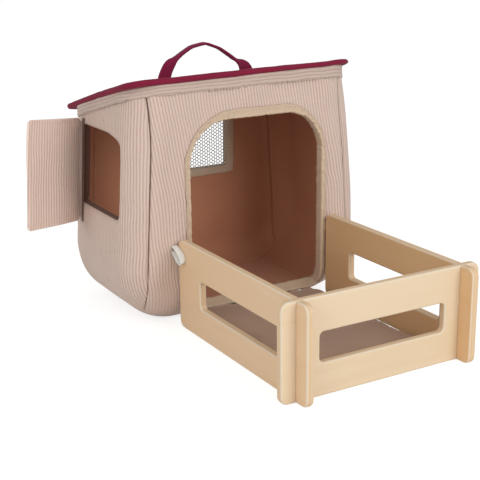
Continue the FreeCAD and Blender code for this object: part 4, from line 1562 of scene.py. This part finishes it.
class STABLE_OT_strap(PieceOperator):
    """Makes the carrying strap and the patches under its ends"""

    bl_idname = "stable.strap"
    bl_label = "Carrying strap"
    # From the strap's left end to its right: across, up, width, thickness, and how far the tape is turned
    stations = (
        (-0.0570, 0.0000, 0.0170, 0.0016, 0.0),
        (-0.0550, 0.0100, 0.0170, 0.0016, 0.0),
        (-0.0508, 0.0200, 0.0155, 0.0017, 0.0),
        (-0.0460, 0.0265, 0.0125, 0.0022, 0.2),
        (-0.0405, 0.0307, 0.0100, 0.0036, 0.9),
        (-0.0310, 0.0372, 0.0090, 0.0034, 1.0),
        (-0.0180, 0.0444, 0.0090, 0.0032, 1.0),
        (0.0010, 0.0476, 0.0090, 0.0031, 1.0),
        (0.0200, 0.0406, 0.0090, 0.0030, 1.0),
        (0.0335, 0.0315, 0.0090, 0.0035, 1.0),
        (0.0450, 0.0232, 0.0100, 0.0042, 0.9),
        (0.0520, 0.0185, 0.0150, 0.0024, 0.2),
        (0.0565, 0.0140, 0.0185, 0.0018, 0.0),
        (0.0590, 0.0080, 0.0205, 0.0016, 0.0),
        (0.0600, 0.0000, 0.0205, 0.0016, 0.0),
    )
    ring_count = 121
    ring_sides = 40
    soft_rounds = 8
    squareness = 0.55
    patch_margin = 0.0004
    patch_radius = 0.003
    patch_rim = 0.0012
    patch_step = 0.0015
    patch_lift = 0.0002
    patch_height = 0.0010
    groove_depth = 0.0003
    groove_width = 0.0006
    stitch_inset = 0.0025
    stitch_step = 0.001
    stitch_lengths = {"size": 0.0022, "gap": 0.001}

    def execute(self, context):
        sizes = roof_sizes()
        material = woven("strap_cloth", colours().strap, pitch=0.7, contrast=0.16, sheen=0.08, roughness=0.78)
        stations = np.array(self.stations)
        course, ways = softened(stations, way_along(stations[:, :2]), self.ring_count, self.soft_rounds)
        rings = self.rings(course)
        around = np.linspace(0, 2 * stations[:, 2].max(), rings.shape[1])
        cloth = np.stack(np.broadcast_arrays(around[None, :], ways[:, None], 0.0), axis=-1)
        caps = []
        for end, flip in ((0, True), (-1, False)):
            middle = rings[end].mean(axis=0)
            shrunk = np.stack([middle + (rings[end] - middle) * part for part in (1.0, 0.5, 0.02)])
            caps.append((shrunk, grid_faces(*shrunk.shape[:2], wrap=True, flip=flip), np.zeros(shrunk.shape)))
        body = (rings, grid_faces(*rings.shape[:2], wrap=True), cloth)
        piece = join_meshes("strap", [body, *caps])
        weld(piece)
        dress(piece, "handle", "webbing", material, "carry_strap")
        self.add_patches(sizes)
        return {"FINISHED"}

    def rings(self, course):
        """Rings of the strap along its course: flat at its ends, turned and folded thick at the grip."""
        across, up, width, thickness, turned = course.T
        ahead = np.gradient(course[:, :2], axis=0)
        ahead /= np.linalg.norm(ahead, axis=1)[:, None]
        outward = np.stack([-ahead[:, 1], 0 * across, ahead[:, 0]], axis=-1)
        sideways = np.array([0.0, 1.0, 0.0])
        twist = turned[:, None] * math.pi / 2
        wide_way = outward * np.cos(twist) + sideways * np.sin(twist)
        thin_way = -outward * np.sin(twist) + sideways * np.cos(twist)
        turns = np.linspace(0, 2 * math.pi, self.ring_sides, endpoint=False)
        wide = np.sign(np.cos(turns)) * np.abs(np.cos(turns)) ** self.squareness
        thin = np.sign(np.sin(turns)) * np.abs(np.sin(turns)) ** self.squareness
        hem = 1 + 0.22 * bell(np.abs(wide) - 0.78, 0.1) - 0.25 * turned[:, None] * bell(wide, 0.12)
        centre = np.array(joints["handle_hinge"]["pos_m"]) + np.stack([across, 0 * across, up], axis=-1)
        wide = (width / 2)[:, None] * wide
        thin = (thickness / 2)[:, None] * thin * hem
        return centre[:, None] + wide_way[:, None] * wide[..., None] + thin_way[:, None] * thin[..., None]

    def add_patches(self, sizes):
        """Two stitched patches on the roof, each a little padded."""
        roof = RoofFrame(Stall())
        low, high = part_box("strap_patches")
        material = woven("patch_cloth", colours().roof, **roof_finish)
        thread = woven("patch_thread", colours().roof_thread, pitch=thread_pitch)
        outer = high.x
        inner = 2 * sizes.strap_half_span - outer
        along = (joints["handle_hinge"]["pos_m"][1] + roof.stall.half_depth) / math.cos(roof.pitch)
        half = (high.y - low.y) / 2 - self.patch_margin
        top = sizes.thickness - sizes.hang
        radii = (self.patch_radius,) * 4
        sewing = (self.stitch_step, self.stitch_inset, top + self.patch_height, thread)
        parts = []
        for side, sign in (("left", -1), ("right", 1)):
            ends = (*sorted((sign * inner, sign * outer)), along - half, along + half)
            x, d, inward = rounded_pad(*ends, radii, self.patch_rim, self.patch_step)
            groove = self.groove_depth * bell(inward - self.stitch_inset, self.groove_width)
            h = top + self.patch_lift + self.patch_height * round_rim(inward, self.patch_rim) - groove
            cloth = plain_cloth(x, d)
            faces = grid_faces(*x.shape)
            parts.append((roof.place(x, d, h), faces, cloth))
            parts.append((roof.place(x, d, 0 * h + top - self.patch_lift), faces[:, ::-1], cloth))
            edge = Opening(*ends, radii)
            roof.stitch_round(f"patch_stitches_{side}", edge, *sewing, **self.stitch_lengths)
        piece = join_meshes("strap_patch_pair", parts)
        dress(piece, "house", "roof_cloth", material, "strap_patches")


class STABLE_OT_flap(PieceOperator):
    """Makes the hatch's flap: two corduroy faces round a thin board"""

    bl_idname = "stable.flap"
    bl_label = "Flap"
    # Painted light: the flap's corduroy is painted paler than the walls', the same cloth, to lift the shade
    # that falls on it
    crown_light_share = 1.25
    valley_light_share = 1.32
    rim = 0.0018
    rim_round = 0.0022
    hem_depth = 0.0004
    hem_inset = 0.0055
    hem_width = 0.001
    curl_length = 0.09
    strip_columns = 9
    strip_rows = 64
    strip_thickness = 0.0003
    board_radius = 0.002
    board_rim = 0.001
    board_step = 0.004

    def execute(self, context):
        sizes = context.scene.stable_flap
        material = corduroy("flap_corduroy", self.crown_light_share, self.valley_light_share)
        ends = (-sizes.hinge_lap, sizes.reach, 0.0, sizes.height)
        x, h, inward = rounded_pad(*ends, (sizes.radius,) * 4, self.rim, stall_sizes().column_step)
        keep = np.ones(np.subtract(x.shape, 1), bool)
        rib = ribs(x, h, 81, sizes.rib_pitch)
        rim = round_rim(inward, self.rim_round)
        hem = self.hem_depth * bell(inward - self.hem_inset, self.hem_width)
        covers = (("flap_outside", "flap_outer_cover", 1), ("flap_inside", "flap_inner_cover", -1))
        for name, node, side in covers:
            depth = side * (sizes.thickness / 2 * rim + stall_sizes().rib_height * (rib - 1) * rim - hem)
            cloth = np.stack([x + 0.5 * side, h, rib], axis=-1)
            faces = grid_faces(*x.shape, flip=side > 0)
            piece = mesh_piece(name, self.place(sizes, x, h, depth), faces, cloth)
            dress(piece, "flap", "corduroy", material, node)
            stretch(piece, x, h, keep, "flap_stiffener")
        self.add_board(sizes)
        self.add_hinge_strip(sizes)
        return {"FINISHED"}

    def add_hinge_strip(self, sizes):
        """The brown cloth strip on the wall that the flap is sewn to, painted in the dark facing colour as
        shade in the gap between flap and wall.
        """
        stall = Stall()
        hinge = joints["flap_hinge"]["pos_m"][1]
        y = np.linspace(hinge - sizes.strip_start, hinge - sizes.strip_end, self.strip_columns)
        z = np.linspace(sizes.foot, sizes.foot + sizes.height, self.strip_rows)
        columns = [stall.across_of(place) for place in y]
        across, level = np.meshgrid(columns, stall.level_of("left", z))
        points = stall.point("left", across, level, 0.0)
        piece = mesh_piece("hinge_strip", points, grid_faces(*across.shape), plain_cloth(across, level))
        thicken(piece, self.strip_thickness)
        dress(piece, "house", "lining", woven("strip_cloth", colours().facing))

    def add_board(self, sizes):
        """The thin board in the flap, which bends with it."""
        margin = sizes.board_margin
        ends = (margin - sizes.hinge_lap, sizes.reach - margin, margin, sizes.height - margin)
        x, h, _ = rounded_pad(*ends, (self.board_radius,) * 4, self.board_rim, self.board_step)
        points = self.place(sizes, x, h, 0 * x)
        piece = mesh_piece("flap_stiffener", points, grid_faces(*x.shape, flip=True), plain_cloth(x, h))
        thicken(piece, sizes.board_thickness, 0.0)
        dress(piece, "flap", "stiff_board", foam("flap_foam", colours().board), "flap_board")

    def place(self, sizes, x, h, depth):
        """Points on the open flap: x from its hinge, h up from its foot, depth out from its middle."""
        joint = joints["flap_hinge"]
        up = -np.array(joint["axis"])
        swing = Matrix.Rotation(-math.radians(joint["range_deg"][0]), 3, Vector(joint["axis"]))
        along = np.array(swing @ Vector((0, -1, 0)))
        out = np.cross(along, up)
        free = np.clip(x / sizes.reach, 0, 1)
        high = sizes.foot + sizes.climb * free + h
        uneven = 0.4 * ripple(x, h, self.curl_length, 82)
        bend = sizes.curl * free * (1.2 + 0.8 * np.sin(4.0 * free + 4.2) + uneven)
        place = np.array(joint["pos_m"]) + x[..., None] * along
        return place + high[..., None] * up + (depth + bend)[..., None] * out


class STABLE_OT_mat(PieceOperator):
    """Makes the padded mat, swelled by a cloth simulation"""

    bl_idname = "stable.mat"
    bl_label = "Mat"
    finish = {"pitch": 0.8, "contrast": 0.14, "sheen": 0.3, "roughness": 0.92, "blotches": 0.35}
    inset = 0.0015
    step = 0.005
    seam_share = 0.42
    top_share = 0.84
    foot_gap = 0.0004
    pressure = 4.0
    slack = -0.012
    frame_count = 24
    crease_length = 0.013
    crease_width = 0.016
    crease_height = 0.0014
    fold_length = 0.06
    fold_height = 0.0008
    pale_band_inset = 0.007
    pale_band_width = 0.0065
    pale_band_length = 0.012
    doorway_left = (-0.080, -0.066)
    doorway_right = (0.082, 0.096)
    floor_gap = 0.0003
    headroom = 0.001
    curl_begin = 0.016
    curl_end = 0.002
    tuck_begin = 0.06

    def execute(self, context):
        sizes = context.scene.stable_pen
        low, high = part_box("pen_mat")
        ends = (low.x + self.inset, high.x - self.inset, low.y + self.inset, high.y - self.inset)
        x, y, inward = rounded_pad(*ends, (sizes.mat_corner,) * 4, sizes.mat_edge, self.step)
        rim = round_rim(inward, sizes.mat_edge)
        middle = self.seam_share * (high.z - low.z)
        top = middle + (self.top_share * (high.z - low.z) - middle) * rim
        bottom = middle * (1 - rim) + self.foot_gap
        cloth = plain_cloth(x, y)
        faces = grid_faces(*x.shape)
        sheets = [
            (np.stack([x, y, top], axis=-1), faces, cloth),
            (np.stack([x, y, bottom], axis=-1), faces[:, ::-1], cloth),
        ]
        piece = join_meshes("mat", sheets)
        weld(piece)
        self.swell(piece, sizes)
        self.settle(piece, low, high, sizes)
        material = woven("mat_cloth", colours().mat, **self.finish)
        dress(piece, "mat", "mat_cloth", material, "pen_mat")
        return {"FINISHED"}

    def swell(self, piece, sizes):
        """Blows the mat's cloth up a little and keeps the result."""
        scene = bpy.context.scene
        remesh = piece.modifiers.new("remesh", "REMESH")
        remesh.mode = "VOXEL"
        remesh.voxel_size = sizes.mat_voxel
        self.keep_modifiers(piece)
        start = points_of(piece.data)
        cloth = piece.modifiers.new("cloth", "CLOTH")
        cloth.settings.use_pressure = True
        cloth.settings.uniform_pressure_force = self.pressure
        cloth.settings.effector_weights.gravity = 0.0
        cloth.settings.shrink_min = self.slack
        cloth.point_cache.frame_start, cloth.point_cache.frame_end = 1, self.frame_count
        for step in range(1, self.frame_count + 1):
            scene.frame_set(step)
        self.keep_modifiers(piece)
        scene.frame_set(1)
        move = points_of(piece.data) - start
        size = np.linalg.norm(move, axis=1)
        limit = np.minimum(1.0, sizes.mat_swell / np.maximum(size, 1e-9))
        move_points(piece.data, start + move * limit[:, None])

    def keep_modifiers(self, piece):
        """Makes what the modifiers show the piece's own mesh."""
        shown = piece.evaluated_get(bpy.context.evaluated_depsgraph_get())
        mesh = bpy.data.meshes.new_from_object(shown)
        piece.modifiers.clear()
        piece.data = mesh

    def settle(self, piece, low, high, sizes):
        """Lays the mat flat on the floor, wrinkles its top, and marks where each point lies on the cloth."""
        subdivide = piece.modifiers.new("smooth", "SUBSURF")
        subdivide.levels = 1
        self.keep_modifiers(piece)
        mesh = piece.data
        x, y, z = points_of(mesh).astype(float).T
        height = np.clip((z - low.z) / (high.z - low.z), 0, 1)
        middle = (low + high) / 2
        from_side = (high.x - low.x) / 2 - np.abs(x - middle.x)
        from_end = (high.y - low.y) / 2 - np.abs(y - middle.y)
        from_edge = np.minimum(from_side, from_end)
        creases = self.crease_height * bell(from_edge, self.crease_width)
        creases = creases * ripple(x, y, self.crease_length, 101)
        folds = ripple(x, y, self.fold_length, 102) * self.fold_height
        z = z + (creases + folds) * height
        # A paler band just inside the mat's edge, patchy along it
        patchy = 0.6 + 0.4 * ripple(x, y, self.pale_band_length, 103)
        pale_marks = 0.9 * bell(from_edge - self.pale_band_inset, self.pale_band_width) * patchy
        doorway = smooth(x, *self.doorway_left) * (1 - smooth(x, *self.doorway_right))
        z = np.clip(z, low.z + self.floor_gap, high.z + self.headroom)
        z = z + sizes.mat_curl * doorway * smooth(y, high.y - self.curl_begin, high.y - self.curl_end)
        y = y + sizes.mat_tuck * doorway * smooth(y, high.y - self.tuck_begin, high.y)
        move_points(mesh, np.stack([x, y, z], axis=-1))
        if "cloth" in mesh.attributes:
            mesh.attributes.remove(mesh.attributes["cloth"])
        mark_cloth(mesh, np.stack([x, y + z, pale_marks], axis=-1))


class STABLE_OT_loops(PieceOperator):
    """Makes the white tape loops beside the pen's back ends"""

    bl_idname = "stable.loops"
    bl_label = "Tape loops"
    finish = {"pitch": 0.35, "contrast": 0.06, "sheen": 0.25, "roughness": 0.55, "blotches": 0.08}
    # How far out and how far down a loop goes, as shares of its reach and its height
    reach_shares = (0.0, 0.3, 0.7, 0.98, 0.97, 0.74, 0.46, 0.2, 0.0)
    drop_shares = (0.0, 0.08, 0.34, 0.66, 0.92, 1.0, 0.84, 0.56, 0.36)
    point_count = 49
    column_count = 9
    soft_rounds = 10
    twist = 0.0012
    hollow = 0.0006
    thickness = 0.0009

    def execute(self, context):
        sizes = context.scene.stable_pen
        material = woven("white_tape", colours().tape, **self.finish)
        for side in ("left", "right"):
            node = f"pen_loop_{side}"
            low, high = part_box(node)
            piece = self.loop(f"tape_loop_{side}", low, high, sizes)
            dress(piece, "house", "white_tape", material, node)
        return {"FINISHED"}

    def loop(self, name, low, high, sizes):
        """Tape that leaves the wall, rounds a drooping bend and comes back to the wall lower down."""
        deep = high.y - np.array(self.reach_shares) * sizes.loop_reach
        tall = high.z - np.array(self.drop_shares) * sizes.loop_height
        knots = np.stack([deep, tall], axis=-1)
        path, _ = softened(knots, way_along(knots), self.point_count, self.soft_rounds)
        run = way_along(path)
        across = np.linspace(0, 1, self.column_count)[None, :]
        twist = self.twist * np.sin(math.pi * run / run[-1])[:, None]
        x = low.x + (high.x - low.x) * across + twist * 0.4
        y = path[:, 0][:, None] - self.hollow * np.sin(math.pi * across)
        z = path[:, 1][:, None] + twist * (across - 0.5) * 2
        points = np.stack(np.broadcast_arrays(x, y, z), axis=-1)
        cloth = np.stack(np.broadcast_arrays(across * (high.x - low.x), run[:, None], 0.0), axis=-1)
        piece = mesh_piece(name, points, grid_faces(*points.shape[:2]), cloth)
        return thicken(piece, self.thickness, 0.0)


class STABLE_OT_pen(PieceOperator):
    """Finishes the wooden panels of the pen and the stiff boards in the walls"""

    bl_idname = "stable.pen"
    bl_label = "Wood and boards"
    # Which way each panel's grain runs, which way is through it, and its shade tint: the side panels are
    # painted darker and warmer as shade on faces turned from the light, the right one most, with painted
    # shade and brown reflected light inside the pen
    panels = {
        "front_panel": ("X", "Y", (1.0, 1.0, 1.0)),
        "left_side": ("Y", "X", (1.0, 0.91, 0.84)),
        "right_side": ("Y", "X", (0.95, 0.79, 0.62)),
    }
    board_inset = 0.02

    def execute(self, context):
        for panel, look in self.panels.items():
            self.finish(f"pen_{panel}", plywood(f"{panel}_wood", *look))
        board = foam("stiff_board", colours().board)
        for node in frame["nodes"]:
            if node.endswith("_board"):
                self.finish(node, board)
        stall = Stall()
        for side in leaning:
            self.add_leaning_board(stall, side, openings(stall)[side], board)
        return {"FINISHED"}

    def add_leaning_board(self, stall, side, opening, material):
        """The board of a wall that leans in, which leans with it."""
        sizes = stall_sizes()
        across, level, keep = wall_sheet(stall, side, opening, sizes.plain_step, sizes.row_step)
        points = stall.point(side, across, level, -sizes.board_depth)
        inside = np.abs(across) < stall.edge(side, level) - self.board_inset
        covered = inside & (points[..., 2] > stall.foot)
        keep = keep & covered[1:, 1:] & covered[:-1, 1:] & covered[1:, :-1] & covered[:-1, :-1]
        faces = grid_faces(*level.shape, keep, flip=side == "back")
        piece = mesh_piece(f"{side}_stiffener", points, faces, plain_cloth(across, level))
        dress(thicken(piece, sizes.board_thickness), "house", "stiff_board", material, f"{side}_board")

    def finish(self, node, material):
        piece = frame["nodes"][node]
        piece.data.materials.clear()
        piece.data.materials.append(material)


class STABLE_PT_panel(bpy.types.Panel):
    """Lists the stable's pieces and sizes"""

    bl_label = "Toy stable"
    bl_space_type = "VIEW_3D"
    bl_region_type = "UI"
    bl_category = "Stable"

    def draw(self, context):
        for operator in OPERATORS:
            self.layout.operator(operator.bl_idname)
        for name, group in GROUPS.items():
            box = self.layout.box()
            box.label(text=group.__doc__)
            for field in group.__annotations__:
                box.prop(getattr(context.scene, name), field)


GROUPS = {
    "stable_stall": StallSizes,
    "stable_openings": OpeningSizes,
    "stable_roof": RoofSizes,
    "stable_flap": FlapSizes,
    "stable_pen": PenSizes,
    "stable_colours": StableColours,
    "stable_stage": StageSettings,
}
OPERATORS = (
    STABLE_OT_stage,
    STABLE_OT_walls,
    STABLE_OT_linings,
    STABLE_OT_bindings,
    STABLE_OT_net,
    STABLE_OT_roof,
    STABLE_OT_band,
    STABLE_OT_strap,
    STABLE_OT_flap,
    STABLE_OT_mat,
    STABLE_OT_loops,
    STABLE_OT_pen,
)


def register():
    for group in (*GROUPS.values(), *OPERATORS, STABLE_PT_panel):
        bpy.utils.register_class(group)
    for name, group in GROUPS.items():
        setattr(bpy.types.Scene, name, bpy.props.PointerProperty(type=group))


def unregister():
    for name in GROUPS:
        delattr(bpy.types.Scene, name)
    for group in reversed((*GROUPS.values(), *OPERATORS, STABLE_PT_panel)):
        bpy.utils.unregister_class(group)


def main():
    register()
    for operator in OPERATORS:
        group, name = operator.bl_idname.split(".")
        getattr(getattr(bpy.ops, group), name)()


if __name__ == "__main__":
    main()
